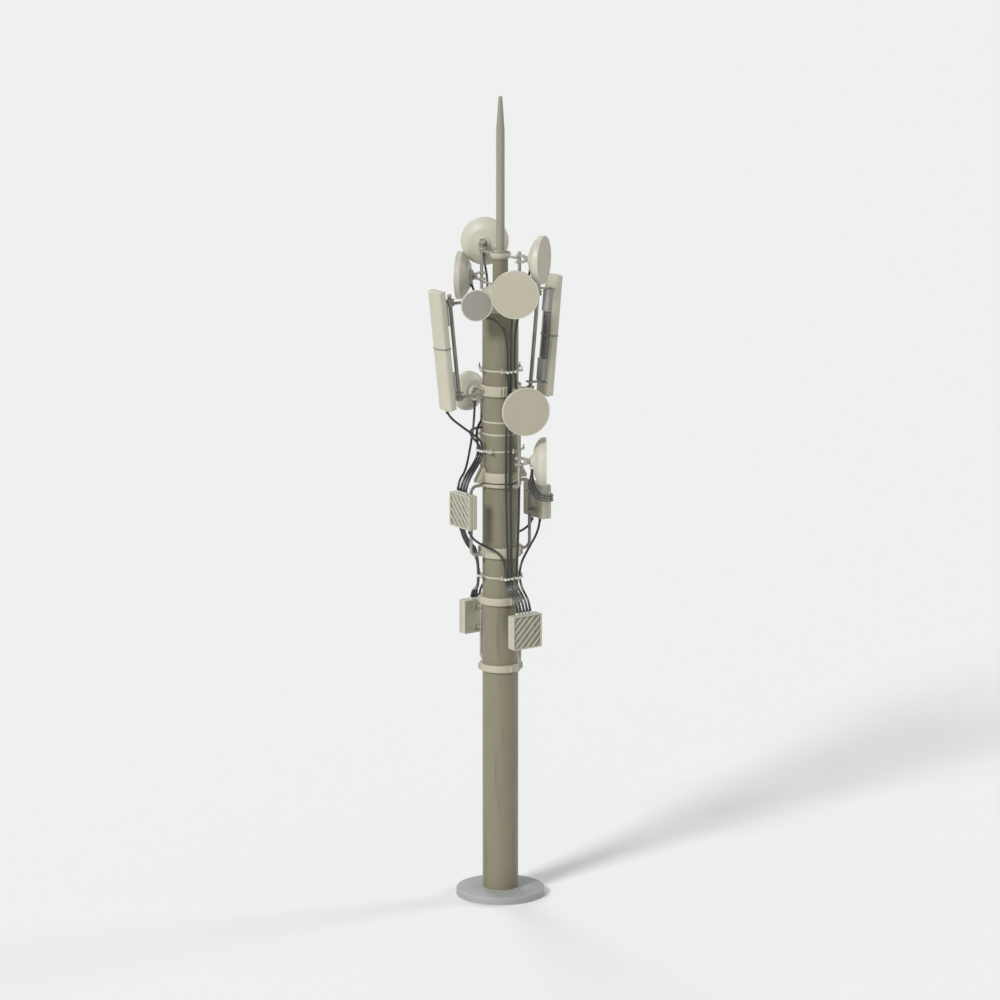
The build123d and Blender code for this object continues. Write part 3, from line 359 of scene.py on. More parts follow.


# Its wide band of pale edge is scuffed paint and a painted rim highlight round the rim.
footing_paint = painted(
    "footing_paint", (0.34, 0.35, 0.345), (0.3, 0.31, 0.305), (0.2, 0.2, 0.18), 0.2, 0.5, 0.001, 5, 0.03
)
footing = bmesh.new()
edge = FOOTING_EDGE
add_solid(
    footing,
    near(FOOTING_RADIUS, 0, (-edge / 2, 0), (0, edge / 2))
    + near(FOOTING_RADIUS, FOOTING_HEIGHT, (0, -edge), (-edge * 0.3, -edge * 0.3), (-edge, 0))
    + near(SEAT_RADIUS, FOOTING_HEIGHT, (0, 0), (-0.006, SEAT_RISE), (-0.052, SEAT_RISE)),
    steps=128,
)
finish(footing, "footing", footing_paint, ["base_disc"])


# ---- Pole and its cap ---------------------------------------------------------------
# The pole is one long rolled steel tube, painted a dull olive brown and welded to the footing
# by a bead round its foot. A pressed cap slips over its top and closes it.

POLE_RADIUS = 0.333
POLE_WALL = 0.01
POLE_FOOT = 0.135
POLE_TOP = 11.5
CAP_SKIRT_FOOT = 11.131
CAP_RADIUS = 0.3453
CAP_TOP = 11.614
UPPER_POLE_RADIUS = 0.143
COLLAR_BOTTOM = 12.102
COLLAR_TOP = 12.213
COLLAR_RADIUS = 0.195
COLLAR_FLOOR = 12.179
COLLAR_SEAT = 12.183
SPIRE_RADIUS = 0.078
SPIRE_FOOT_RADIUS = 0.132
SPIRE_TOP = 15.096

pole_paint = painted(
    "pole_paint", (0.232, 0.211, 0.14), (0.2, 0.183, 0.124), (0.12, 0.11, 0.076), 0.32, 0.42, 0.0006, 8
)
pole = bmesh.new()
shell = [(POLE_RADIUS, height) for height in (POLE_FOOT, 4.2, 8.0, POLE_TOP)]
add_turned(
    pole, [(POLE_RADIUS - POLE_WALL, POLE_FOOT), *shell, (POLE_RADIUS - POLE_WALL, POLE_TOP)], steps=96
)
add_turned(
    pole, near(POLE_RADIUS, POLE_FOOT, (-0.002, 0.016), (0.006, 0.013), (0.013, 0.006), (0.015, 0)), steps=96
)
finish(pole, "pole", pole_paint, ["main_pole"])

cast_paint = painted("cast_paint", (0.5, 0.475, 0.385), (0.44, 0.42, 0.345), (0.27, 0.25, 0.19), 0.3, 0.4)
cap = bmesh.new()
add_turned(
    cap,
    near(POLE_RADIUS, CAP_SKIRT_FOOT, (0.001, 0.002))
    + near(CAP_RADIUS, CAP_SKIRT_FOOT, (0.004, 0), (0.005, 0.006), (0.005, 0.02), (0, 0.025))
    + near(CAP_RADIUS, POLE_TOP, (0, -0.01), (-0.004, 0.008), (-0.018, 0.024))
    + near(UPPER_POLE_RADIUS, CAP_TOP, (0.028, -0.016), (0.014, -0.003), (0, 0)),
    steps=96,
)
finish(cap, "cap", cast_paint, ["pole_cap"])

# The slender top tube stands on the cap, and its cast collar is dished round the spire's foot.
top_tube = bmesh.new()
add_turned(
    top_tube,
    near(UPPER_POLE_RADIUS, CAP_TOP, (-0.008, 0), (0.009, 0), (0.006, 0.008), (0, 0.012))
    + near(UPPER_POLE_RADIUS, COLLAR_BOTTOM, (0, 0), (-0.008, 0)),
)
finish(top_tube, "top_tube", pole_paint, ["upper_pole"])

collar = bmesh.new()
rolled_lip = [(-0.002, -0.006), (-0.007, -0.001), (-0.013, 0), (-0.019, 0)]
rolled_lip += [(-0.024, -0.002), (-0.026, -0.008)]
add_turned(
    collar,
    near(UPPER_POLE_RADIUS, COLLAR_BOTTOM, (0, 0), (0.022, 0), (0.026, 0.004), (0.029, 0.01))
    + near(COLLAR_RADIUS, COLLAR_BOTTOM, (-0.003, 0.037), (0, 0.045), (0, 0.05))
    + near(COLLAR_RADIUS, COLLAR_TOP, (0, -0.02), (0, -0.014), *rolled_lip)
    + [(COLLAR_RADIUS - 0.028, COLLAR_SEAT), (SPIRE_RADIUS, COLLAR_SEAT)],
)
finish(collar, "collar", cast_paint, ["top_collar"])

spire_paint = painted(
    "spire_paint", (0.3, 0.285, 0.222), (0.26, 0.247, 0.195), (0.16, 0.15, 0.115), 0.3, 0.36
)
spire = bmesh.new()
add_solid(
    spire,
    near(SPIRE_FOOT_RADIUS, COLLAR_FLOOR, (-0.006, 0), (0, 0.006))
    + near(SPIRE_FOOT_RADIUS, COLLAR_TOP, (0, 0.01), (-0.002, 0.016), (-0.008, 0.02), (-0.02, 0.023))
    + near(SPIRE_RADIUS, COLLAR_TOP, (0.013, 0.027), (0.004, 0.033), (0, 0.045))
    + near(SPIRE_RADIUS, SPIRE_TOP, (0, -0.66), (-0.002, -0.6))
    + near(SPIRE_RADIUS, SPIRE_TOP, (-0.042, -0.02), (-0.048, -0.006), (-0.058, 0)),
    steps=48,
)
finish(spire, "lightning_spire", spire_paint, ["spire"])


# ---- Bands and straps ---------------------------------------------------------------
# Heavy steel bands are clamped round the pole where pipes and arms start. Each is rolled
# in two halves whose lugs are drawn together by bolts. Two thin straps sit between them.

BAND_RADIUS = 0.388
JOINT_LUG = (0.034, 0.03)
STRAP_RADIUS = 0.344
STRAP_BOTTOMS = (8.823, 9.055)
GUSSET_THICKNESS = 0.014
GUSSET_MIDDLE = 0.05  # from the middle of a pair to the middle of each plate
GUSSET_TIP = BAND_RADIUS + 0.172
# underside, height and heading of the joint of each band
BANDS = {
    "panel_band": ((9.567, 0.191, 150),),
    "dish_band": ((7.856, 0.059, 150),),
    "upper_radio_band": ((7.943, 0.184, 7),),
    "lower_radio_band": ((5.62, 0.137, 60),),
    "radio_foot_bands": ((6.515, 0.193, 60), (4.345, 0.13, 60)),
}

band_paint = painted(
    "band_paint", (0.48, 0.45, 0.335), (0.42, 0.395, 0.3), (0.25, 0.23, 0.17), 0.3, 0.4, 0.0005, 20, 0.012
)


def facing(angle, origin, tilt=0.0):
    """A place that faces a heading: its own X runs to the left seen from outside, Y outward, Z up."""
    turn = Matrix.Rotation(radians(angle) + pi, 4, "Z")
    return Matrix.Translation(origin) @ turn @ Matrix.Rotation(radians(-tilt), 4, "X")


def level(angle, origin):
    """A level place: its own X points outward along a heading, and Y to the right."""
    return Matrix.Translation(origin) @ Matrix.Rotation(radians(angle) - pi / 2, 4, "Z")


def lengthwise(angle, origin):
    """An upright place along a heading: its own X points outward and its Y up."""
    return level(angle, origin) @ Matrix.Rotation(pi / 2, 4, "X")


def only(kind, parts):
    """The parts of one kind among those that a bmesh operator made."""
    return [part for part in parts if isinstance(part, kind)]


def add_block(piece, place, size, ease, segments=2):
    """A block of a size, centred on its place, with all its edges eased."""
    shape = bmesh.new()
    bmesh.ops.create_cube(shape, size=1, matrix=Matrix.Diagonal((*size, 1)))
    ease_edges(shape, shape.edges[:], ease, segments)
    add_shape(piece, shape, place)


def draw_up(shape, corners, height):
    """Fill an outline's corners and draw it up into a solid."""
    grown = bmesh.ops.extrude_face_region(shape, geom=[shape.faces.new(corners)])["geom"]
    bmesh.ops.translate(shape, verts=only(BMVert, grown), vec=(0, 0, height))
    bmesh.ops.recalc_face_normals(shape, faces=shape.faces)


def add_prism(piece, place, outline, height, ease):
    """A plate cut to an outline and drawn up from it, with its edges eased."""
    shape = bmesh.new()
    draw_up(shape, [shape.verts.new((*corner, 0)) for corner in outline], height)
    ease_edges(shape, shape.edges[:], ease)
    add_shape(piece, shape, place)


def add_bolt(piece, place, half):
    """A bolt's shank through its place, half as long on each side."""
    add_solid(piece, [(0.006, -half), (0.006, half)], place, 10)


def add_band(piece, bottom, height, radius, joint):
    """A rolled band with eased edges, and a bolted joint on both sides of the pole."""
    ease = min(0.008, height / 6)
    top = bottom + height
    add_turned(
        piece,
        [(POLE_RADIUS, bottom)]
        + near(radius, bottom, (-ease, 0), (-ease * 0.3, ease * 0.3), (0, ease))
        + near(radius, top, (0, -ease), (-ease * 0.3, -ease * 0.3), (-ease, 0))
        + [(POLE_RADIUS, top)],
        steps=96,
    )
    for turn in (joint, joint + 180):
        for side in (-0.026, 0.026):
            lug = facing(turn, at(turn, radius + JOINT_LUG[1] / 2 - 0.006, bottom + height / 2, side))
            add_block(piece, lug, (JOINT_LUG[0] * 0.6, JOINT_LUG[1], height * 0.86), 0.004)
        across = heading(turn + 90)
        for share in (0.25, 0.75) if height > 0.1 else (0.5,):
            centre = at(turn, radius + JOINT_LUG[1] * 0.45, bottom + height * share)
            add_bolt(piece, aim(centre, across), 0.04)
            for end in (-1, 1):
                add_nut(piece, aim(centre + across * end * 0.036, across * end), 0.024, 0.012)


def add_gusset(piece, angle, side, bottom, height):
    """A cut plate that braces a band, with a nut on a round boss on its outer face."""
    wing = bottom + height + 0.1
    outline = [
        (POLE_RADIUS + 0.002, bottom + 0.01),
        (GUSSET_TIP, bottom),
        (GUSSET_TIP, bottom + 0.058),
        (BAND_RADIUS + 0.04, wing),
        (BAND_RADIUS, wing),
        (POLE_RADIUS + 0.002, bottom + height - 0.004),
    ]
    corner = at(angle, 0, 0, side * GUSSET_MIDDLE + GUSSET_THICKNESS / 2)
    add_prism(piece, lengthwise(angle, corner), outline, GUSSET_THICKNESS, 0.004)
    boss = at(angle, BAND_RADIUS + 0.086, bottom + height / 2, side * 0.056)
    outward = heading(angle + 90) * side
    add_solid(piece, [(0.042, 0), (0.042, 0.009), (0.038, 0.013)], aim(boss, outward), 32)
    add_nut(piece, aim(boss + outward * 0.012, outward), 0.04, 0.018)


for band_name, members in BANDS.items():
    band = bmesh.new()
    for bottom, height, joint in members:
        add_band(band, bottom, height, BAND_RADIUS, joint)
    if band_name == "upper_radio_band":
        for angle in (-90, 90):
            for side in (-1, 1):
                add_gusset(band, angle, side, bottom, height)
    finish(band, band_name + "_shell", band_paint, [band_name])

straps = bmesh.new()
for strap_bottom in STRAP_BOTTOMS:
    add_band(straps, strap_bottom, 0.035, STRAP_RADIUS, 215)
finish(straps, "strap_shells", cast_paint, ["pole_straps"])


# ---- Cable guide rings --------------------------------------------------------------
# A flat ring with three straight bars is clamped on the pole at three heights. The feeder
# cables are tied to the bars' outer edges, and prongs near a bar's ends keep them on it.

GUIDE_RINGS = ((6.123, 0), (8.509, -90), (10.02, 0))
GUIDE_RADIUS = 0.3495
GUIDE_THICKNESS = 0.036
GUIDE_BAR = (0.485, 0.04, GUIDE_THICKNESS)
GUIDE_BAR_REACH = 0.3693
GUIDE_PRONG_SPACING = 0.446
GUIDE_PRONG = [(0.018, 0), (0.0125, 0.006), (0.011, 0.05), (0.008, 0.057)]

guides = bmesh.new()
for bottom, first_bar in GUIDE_RINGS:
    top = bottom + GUIDE_THICKNESS
    rim = near(GUIDE_RADIUS, bottom, (-0.0035, 0), (0, 0.004))
    rim += near(GUIDE_RADIUS, top, (0, -0.004), (-0.0035, 0))
    add_turned(guides, [(POLE_RADIUS, bottom), *rim, (POLE_RADIUS, top)], steps=96)
    for bar_heading in (first_bar, first_bar + 120, first_bar + 240):
        middle = at(bar_heading, GUIDE_BAR_REACH, bottom + GUIDE_THICKNESS / 2)
        add_block(guides, facing(bar_heading, middle), GUIDE_BAR, 0.005)
        for side in (-GUIDE_PRONG_SPACING / 2, GUIDE_PRONG_SPACING / 2):
            foot = at(bar_heading, GUIDE_BAR_REACH, top - 0.002, side)
            add_turned(guides, [(0, 0), *GUIDE_PRONG, (0, 0.06)], aim(foot, (0, 0, 1)), 18)
finish(guides, "guide_rings", cast_paint, ["cable_guide_rings"])


# ---- Dish pipes ---------------------------------------------------------------------
# Galvanised tubes stand off the pole at its front and rear. Short arms welded to the cap and
# the collar hold the upper pair, and the lower pair is bent round into two bands.

PIPE_RADIUS = 0.03
PIPE_BEND = 0.12
PIPE_ROUND = 28
PIPE_SOCKET_WIDTH = 0.104
DISH_PIPE_REACH = 0.605
UPPER_DISH_PIPE = (11.44, 12.31)
LOWER_DISH_PIPE = (7.8855, 9.662)
UPPER_ARM_RADIUS = 0.022
UPPER_ARM_HEIGHTS = {0: (11.59, 12.175), 180: (11.573, 12.148)}
CAP_ARM_WELD = 0.22  # where the lower arms meet the cap's slope
CORNERS = ((-1, -1), (-1, 1), (1, -1), (1, 1))

# Hot zinc cools into pale and dark crystals a thumb's width across.
group, inside, result = node_group("zinc_spangle", {"Scale": 55.0}, ["Crystals"])
zinc_spangle = group
spots = (add_node(group, "TexCoord"), "Object")
crystals = add_node(group, "TexVoronoi", {"Vector": spots, "Scale": (inside, "Scale")})
clouds = add_node(group, "TexNoise", {"Vector": spots, "Scale": 7.0, "Detail": 4.0})
halves = {"Factor": 0.5, "A": (crystals, "Color"), "B": (clouds, "Fac")}
clouded = add_node(group, "Mix", halves, data_type="FLOAT")
feed(group, result, {"Crystals": (clouded, "Result")})


def galvanised(name, bright, dull, metal=0.15, gloss=0.42):
    """Zinc-coated steel: its crystals differ in tone and shine, rain leaves dull runs, and its edges are
    paler, partly scuffed and partly a painted highlight.
    """
    # The last colour is the paler edge tone: scuffed zinc and a painted highlight.
    colours = (bright, dull, [0.5 * part for part in dull], [0.8 * part + 0.12 for part in bright])
    rain = {"Width": 34, "Length": 2.0}
    shine = (gloss - 0.08, gloss + 0.22)
    return weathered(
        name, zinc_spangle, "Crystals", "Crystals", colours, rain, 0.003, shine, 0.0005, 0.35, metal
    )


def add_rod(piece, start, end, radius, steps=PIPE_ROUND):
    """A straight round rod with eased ends."""
    length = (end - start).length
    ease = radius * 0.12
    outline = near(radius, 0, (-ease, 0), (0, ease)) + near(radius, length, (0, -ease), (-ease, 0))
    add_solid(piece, outline, aim(start, end - start), steps)


def add_c_pipe(piece, angle, reach, bottom, top):
    """A tube drawn out of one band, bent down, and bent back into the next."""
    shape = bmesh.new()
    root = BAND_RADIUS - 0.012
    bend_reach = reach - PIPE_BEND
    out = heading(angle) * (bend_reach - root)
    down = Vector((0, 0, bottom - top + 2 * PIPE_BEND))
    start = aim(at(angle, root, top), heading(angle))
    bmesh.ops.create_circle(shape, segments=PIPE_ROUND, radius=PIPE_RADIUS, matrix=start)
    edges = shape.edges[:]
    for leg, hub_height in ((out, top - PIPE_BEND), (down, bottom + PIPE_BEND), (-out, 0)):
        grown = bmesh.ops.extrude_edge_only(shape, edges=edges)["geom"]
        edges = only(BMEdge, grown)
        ring = only(BMVert, grown)
        bmesh.ops.translate(shape, verts=ring, vec=leg)
        if hub_height:
            hub = at(angle, bend_reach, hub_height)
            spun = bmesh.ops.spin(
                shape, geom=edges + ring, cent=hub, axis=heading(angle + 90), angle=pi / 2, steps=10
            )
            edges = only(BMEdge, spun["geom_last"])
    bmesh.ops.holes_fill(shape, edges=[edge for edge in shape.edges if edge.is_boundary])
    add_shape(piece, shape)


def add_socket(piece, angle, height, tall, deep=0.045):
    """A block welded to a band, with a bolt on each side of the tube that enters it."""
    block = facing(angle, at(angle, BAND_RADIUS + deep / 2 - 0.008, height))
    add_block(piece, block, (PIPE_SOCKET_WIDTH, deep, tall), 0.006)
    for side, rise in CORNERS:
        aside = side * PIPE_SOCKET_WIDTH * 0.38
        bolt = at(angle, BAND_RADIUS + deep - 0.009, height + rise * tall * 0.34, aside)
        add_nut(piece, aim(bolt, heading(angle)), 0.019, 0.009)


pipe_zinc = galvanised("pipe_zinc", (0.47, 0.455, 0.385), (0.38, 0.37, 0.315))
upper_pipes = bmesh.new()
for angle in (0, 180):
    low, high = UPPER_DISH_PIPE
    capped = near(PIPE_RADIUS, high - low, (0, -0.026), (0.003, -0.025), (0.003, -0.006), (-0.004, 0))
    foot = aim(at(angle, DISH_PIPE_REACH, low), (0, 0, 1))
    add_solid(upper_pipes, near(PIPE_RADIUS, 0, (-0.004, 0), (0, 0.004)) + capped, foot, PIPE_ROUND)
    for height in UPPER_ARM_HEIGHTS[angle]:
        root = at(angle, UPPER_POLE_RADIUS, height)
        add_rod(upper_pipes, root, at(angle, DISH_PIPE_REACH, height), UPPER_ARM_RADIUS, 20)
        weld = near(UPPER_ARM_RADIUS, 0, (0, -0.01), (0.009, -0.002), (0, 0.009))
        seat = COLLAR_RADIUS if height > CAP_TOP else CAP_ARM_WELD
        add_turned(upper_pipes, weld, aim(at(angle, seat, height), heading(angle)), 20)
finish(upper_pipes, "upper_pipes", pipe_zinc, ["upper_dish_pipes"])

lower_pipes = bmesh.new()
pipe_sockets = bmesh.new()
for angle in (0, 180):
    add_c_pipe(lower_pipes, angle, DISH_PIPE_REACH, *LOWER_DISH_PIPE)
    add_socket(pipe_sockets, angle, LOWER_DISH_PIPE[1], 0.12)
finish(lower_pipes, "lower_pipes", pipe_zinc, ["lower_dish_pipes"])
finish(pipe_sockets, "pipe_sockets", band_paint)


# ---- Microwave dishes ---------------------------------------------------------------
# Each reflector is a spun aluminium bowl with a pressed step, a short drum and a rolled rim,
# powder-coated off-white. A taut sheet radome is clamped under the rim and closes its mouth.

# radius of the rim, length of the drum and depth of the bowl
LARGE = (0.44, 0.104, 0.14)
MEDIUM = (0.365, 0.09, 0.117)
SMALL = (0.286, 0.074, 0.092)
HUB_RADIUS = 0.12
HUB_HEIGHT = 0.04
DOME_SHARES = (0.1, 0.2, 0.3, 0.4, 0.5, 0.6, 0.7, 0.8, 0.87, 0.93, 0.97)
STEP_SHARE = 0.4
SCREWS = 12
SCREW_HEAD = [(0, -0.002), (0.009, -0.002), (0.009, 0.003), (0.006, 0.006), (0, 0.0065)]
# heading, reach and side of a dish's pipe, height, heading of its look, pipe to its back, size
DISHES = {
    "rear_top": (180, 0.605, 0, 12.25, 138, 0.215, LARGE),
    "rear_upper": (180, 0.605, 0, 11.675, -134, 0.17, LARGE),
    "front_top": (0, 0.605, 0, 12.175, 38, 0.19, LARGE),
    "front_upper": (0, 0.605, 0, 11.59, -45, 0.215, LARGE),
    "left_arm": (-90, 0.668, 0.058, 11.366, -23, 0.215, SMALL),
    "rear_middle": (180, 0.605, 0, 9.464, -172, 0.17, MEDIUM),
    "rear_lower": (180, 0.605, 0, 8.66, 120, 0.215, SMALL),
    "front_middle": (0, 0.605, 0, 9.415, -20, 0.215, LARGE),
    "front_lower": (0, 0.605, 0, 8.391, 55, 0.215, LARGE),
}

shell_paint = painted(
    "shell_paint", (0.56, 0.54, 0.445), (0.5, 0.483, 0.4), (0.33, 0.31, 0.25), 0.28, 0.36, 0.0004, 9
)
radome_sheet = painted(
    "radome_sheet", (0.44, 0.405, 0.305), (0.41, 0.38, 0.29), (0.3, 0.275, 0.205), 0.22, 0.5, 0.0003, 7
)
# The left arm's radome is the same sheet as the others, painted darker and greyer as painted shade because it
# is lit less.
arm_radome_painted_shade = painted(
    "arm_radome_painted_shade", (0.31, 0.298, 0.255), (0.285, 0.275, 0.24), (0.21, 0.2, 0.17), 0.22, 0.5, 0.0003, 7
)


def bowl_outline(rim, drum, back):
    """A reflector's outline: its hub, the dome with a pressed step, the drum and the rolled rim."""
    span = rim - HUB_RADIUS
    step = 0.007 * rim / LARGE[0]
    outline = near(HUB_RADIUS, -HUB_HEIGHT, (-0.008, 0), (-0.002, 0.002), (0, 0.008))
    outline += near(HUB_RADIUS, 0, (0, -0.008), (0.006, -0.001))
    for share in DOME_SHARES:
        depth = back * share**2.3
        if share == STEP_SHARE:
            outline += near(HUB_RADIUS, depth, (span * 0.385, -step * 1.2), (span * 0.395, -step * 0.1))
        pressed = step if share >= STEP_SHARE else 0
        outline.append((HUB_RADIUS + span * share, depth + pressed * (1 - share)))
    outline += near(rim, back, (-0.003, -0.004), (0, 0.006))
    outline += near(rim, back + drum, (0, -0.034), (0.004, -0.029), (0.006, -0.02), (0.006, -0.01))
    outline += near(rim, back + drum, (0.002, -0.002), (-0.005, 0), (-0.011, -0.002), (-0.014, -0.008))
    return outline + [(rim - 0.014, back + drum - 0.02)]


radomes = bmesh.new()
arm_radome = bmesh.new()
for dish_name, (pipe_heading, reach, side, height, look, standoff, size) in DISHES.items():
    rim, drum, back = size
    front = back + drum
    pipe = at(pipe_heading, reach, height, side)
    hub = aim(pipe + heading(look) * (standoff + HUB_HEIGHT), heading(look))
    bowl = bmesh.new()
    add_solid(bowl, bowl_outline(*size), hub, 96)
    for turn in range(SCREWS):
        around = hub @ Matrix.Rotation(tau * (turn + 0.5) / SCREWS, 4, "Z")
        screw = shift(around, rim + 0.001, 0, front - 0.05) @ Matrix.Rotation(pi / 2, 4, "Y")
        add_turned(bowl, SCREW_HEAD, screw, 8)
    finish(bowl, dish_name + "_reflector", shell_paint, [dish_name + "_dish"])
    edge = near(rim, front, (-0.0135, -0.016), (-0.0135, -0.009), (-0.02, -0.0065), (-0.04, -0.0055))
    crown = [(rim * 0.6, front - 0.004), (rim * 0.25, front - 0.003), (0, front - 0.003)]
    # The left arm's dish takes the darker sheet of painted shade.
    sheet = arm_radome if dish_name == "left_arm" else radomes
    add_turned(sheet, [(0, front - 0.012), *edge, *crown], hub, 96)
finish(radomes, "radome_sheets", radome_sheet, ["dish_radomes"])
finish(arm_radome, "arm_radome_painted_shade", arm_radome_painted_shade, ["dish_radomes"])


# ---- Dish mounts --------------------------------------------------------------------
# Two cast V-blocks grip the pipe, drawn together by long bolts. A yoke of two cut plates
# carries the hub plate, and a threaded rod from the lower clamp sets the dish's tilt.

CLAMP_WIDTH = 0.116
CLAMP_DEPTH = 0.124
CLAMP_HEIGHT = 0.036
CLAMP_SPLIT = 0.008
CLAMP_SPACING = 0.116
STUB_CLAMP_SPACING = 0.15
CHEEK_GAP = 0.062
CHEEK_THICKNESS = 0.009
CHEEK_NOSE = 0.084
CHEEK_WINDOW = 0.084
HUB_PLATE_RADIUS = 0.092
HUB_PLATE_THICKNESS = 0.012
HUB_BOLTS = 6
UP = Vector((0, 0, 1))

clamp_zinc = galvanised("clamp_zinc", (0.53, 0.51, 0.43), (0.42, 0.405, 0.345), 0.15, 0.45)
bolt_zinc = galvanised("bolt_zinc", (0.56, 0.555, 0.51), (0.43, 0.43, 0.4), 0.5, 0.34)


def add_clamp(blocks, bolts, place, pipe_radius):
    """Two V-blocks on a pipe and the two bolts through them. Place is level with their middle."""
    apex = pipe_radius * 2**0.5
    split = CLAMP_SPLIT / 2
    back = CLAMP_DEPTH / 2
    half = CLAMP_WIDTH / 2
    for side in (1, -1):
        notched = [(split, half), (back, half), (back, -half), (split, -half)]
        notched += [(split, split - apex), (apex, 0), (split, apex - split)]
        notched = [(side * out, across) for out, across in notched]
        add_prism(blocks, shift(place, 0, 0, -CLAMP_HEIGHT / 2), notched, CLAMP_HEIGHT, 0.003)
    for side in (-1, 1):
        bolt = shift(place, 0, side * (half - 0.012), 0) @ Matrix.Rotation(-pi / 2, 4, "Y")
        add_bolt(bolts, bolt, back + 0.02)
        for end in (0, pi):
            add_nut(bolts, shift(bolt @ Matrix.Rotation(end, 4, "X"), 0, 0, back), 0.023, 0.011)


def add_mount(yokes, bolts, dish, spacing):
    """Two clamps on a dish's pipe, and the yoke, hub plate and tilt rod that hold the dish."""
    pipe_heading, reach, side, height, look, standoff = DISHES[dish][:6]
    origin = at(pipe_heading, reach, height, side)
    forward = heading(look)
    across = heading(look + 90)
    nose = standoff - HUB_PLATE_THICKNESS
    root = CLAMP_DEPTH / 2
    half_tall = (spacing + CLAMP_HEIGHT) / 2
    half_window = (spacing - CLAMP_HEIGHT) / 2
    for offset in (-spacing / 2, spacing / 2):
        add_clamp(yokes, bolts, level(look, origin + UP * offset), PIPE_RADIUS)
    cheek = [(root, half_tall), (nose, CHEEK_NOSE / 2), (nose, -CHEEK_NOSE / 2), (root, -half_tall)]
    cheek += [(root, -half_window), (CHEEK_WINDOW, -CHEEK_NOSE / 4), (CHEEK_WINDOW, CHEEK_NOSE / 4)]
    cheek += [(root, half_window)]
    for offset in (-CHEEK_GAP / 2, CHEEK_GAP / 2):
        corner = origin + across * (offset + CHEEK_THICKNESS / 2)
        add_prism(yokes, lengthwise(look, corner), cheek, CHEEK_THICKNESS, 0.002)
    pivot = origin + forward * (nose - 0.026)
    add_rod(bolts, pivot - across * 0.052, pivot + across * 0.052, 0.009, 12)
    for end in (-1, 1):
        add_nut(bolts, aim(pivot + across * end * (CHEEK_GAP / 2 + 0.005), across * end), 0.034, 0.014)
    plate = aim(origin + forward * nose, forward)
    disc = near(HUB_PLATE_RADIUS, 0, (-0.003, 0), (0, 0.003), (0, HUB_PLATE_THICKNESS))
    add_solid(yokes, disc, plate, 48)
    for turn in range(HUB_BOLTS):
        around = plate @ Matrix.Rotation(tau * (turn + 0.5) / HUB_BOLTS, 4, "Z")
        spot = shift(around, HUB_PLATE_RADIUS - 0.018, 0, 0) @ Matrix.Rotation(pi, 4, "X")
        add_nut(bolts, spot, 0.024, 0.01)
    low = origin + forward * (root - 0.02) + across * 0.046 - UP * (spacing / 2)
    high = origin + forward * nose + across * 0.052 - UP * 0.052
    add_rod(bolts, low, high, 0.005, 10)
    for start, end in ((low, high), (high, low)):
        along = (end - start).normalized()
        add_nut(bolts, aim(start + along * 0.03, along), 0.02, 0.022)


for mounts_name, dishes, spacing in (
    ("upper_dish_mounts", ("rear_top", "rear_upper", "front_top", "front_upper"), CLAMP_SPACING),
    ("lower_dish_mounts", ("rear_middle", "rear_lower", "front_middle", "front_lower"), CLAMP_SPACING),
    ("left_arm_dish_mount", ("left_arm",), STUB_CLAMP_SPACING),
):
    yokes = bmesh.new()
    bolts = bmesh.new()
    for dish in dishes:
        add_mount(yokes, bolts, dish, spacing)
    finish(yokes, mounts_name + "_yokes", clamp_zinc, [mounts_name])
    finish(bolts, mounts_name + "_bolts", bolt_zinc)


# ---- Sector panels ------------------------------------------------------------------
# A panel's cover is one drawn fibreglass shell with a curved front, painted cream. A moulded
# cap closes each end, and the threaded ports for its feeders stand under the lower one.

PANEL_HALF_WIDTH = 0.19
PANEL_REAR = -0.09
PANEL_FRONT = 0.09
PANEL_SHOULDER = 0.006
PANEL_LENGTH = 2.24
PANEL_EDGE = 0.014
PANEL_CAP_LENGTH = 0.04
PANEL_CAP_LIP = 0.003
PANEL_PORTS = (-0.105, -0.035, 0.035, 0.105)
PORT = [(0.024, 0), (0.024, 0.006), (0.017, 0.008), (0.017, 0.026), (0.014, 0.03)]
# heading, distance of its centre from the middle of the pole, height, tilt, gap to its pipe
PANELS = {"left": (-90, 1.321, 10.52, 6.4, 0.293), "right": (90, 1.135, 10.545, 5.5, 0.368)}

cover_paint = painted(
    "cover_paint", (0.53, 0.505, 0.4), (0.475, 0.455, 0.365), (0.3, 0.285, 0.22), 0.26, 0.38,
    0.0004, 10, 0.006,
)


def panel_place(panel, along=0.0, outward=0.0, left=0.0):
    """A place on a panel: its own X to the left, Y outward, and Z up along it."""
    angle, reach, height, tilt = PANELS[panel][:4]
    return shift(facing(angle, at(angle, reach, height), tilt), left, outward, along)


def add_cover(piece, place, length, grow, end_ease):
    """A length of the panel's section: a bowed front, flat sides and back, and eased edges."""
    shape = bmesh.new()
    half = PANEL_HALF_WIDTH + grow
    shoulder = shape.verts.new((half, 0, -length / 2))
    bmesh.ops.spin(shape, geom=[shoulder], cent=(0, 0, 0), axis=(0, 0, 1), angle=pi, steps=32)
    bow = sorted(shape.verts, key=lambda vert: -vert.co.x)
    bmesh.ops.scale(shape, verts=bow, vec=(1, (PANEL_FRONT + grow - PANEL_SHOULDER) / half, 1))
    bmesh.ops.translate(shape, verts=bow, vec=(0, PANEL_SHOULDER, 0))
    rear = [shape.verts.new((side * half, PANEL_REAR - grow, -length / 2)) for side in (-1, 1)]
    draw_up(shape, bow + rear, length)
    rear_corners = [
        edge
        for edge in shape.edges
        if abs(edge.verts[0].co.z - edge.verts[1].co.z) > length / 2
        and edge.verts[0].co.y < PANEL_REAR / 2
    ]
    ease_edges(shape, rear_corners, PANEL_EDGE, 5)
    if end_ease:
        rims = [edge for edge in shape.edges if edge.calc_face_angle(0) > 1.3]
        ease_edges(shape, rims, end_ease, 4)
    add_shape(piece, shape, place)


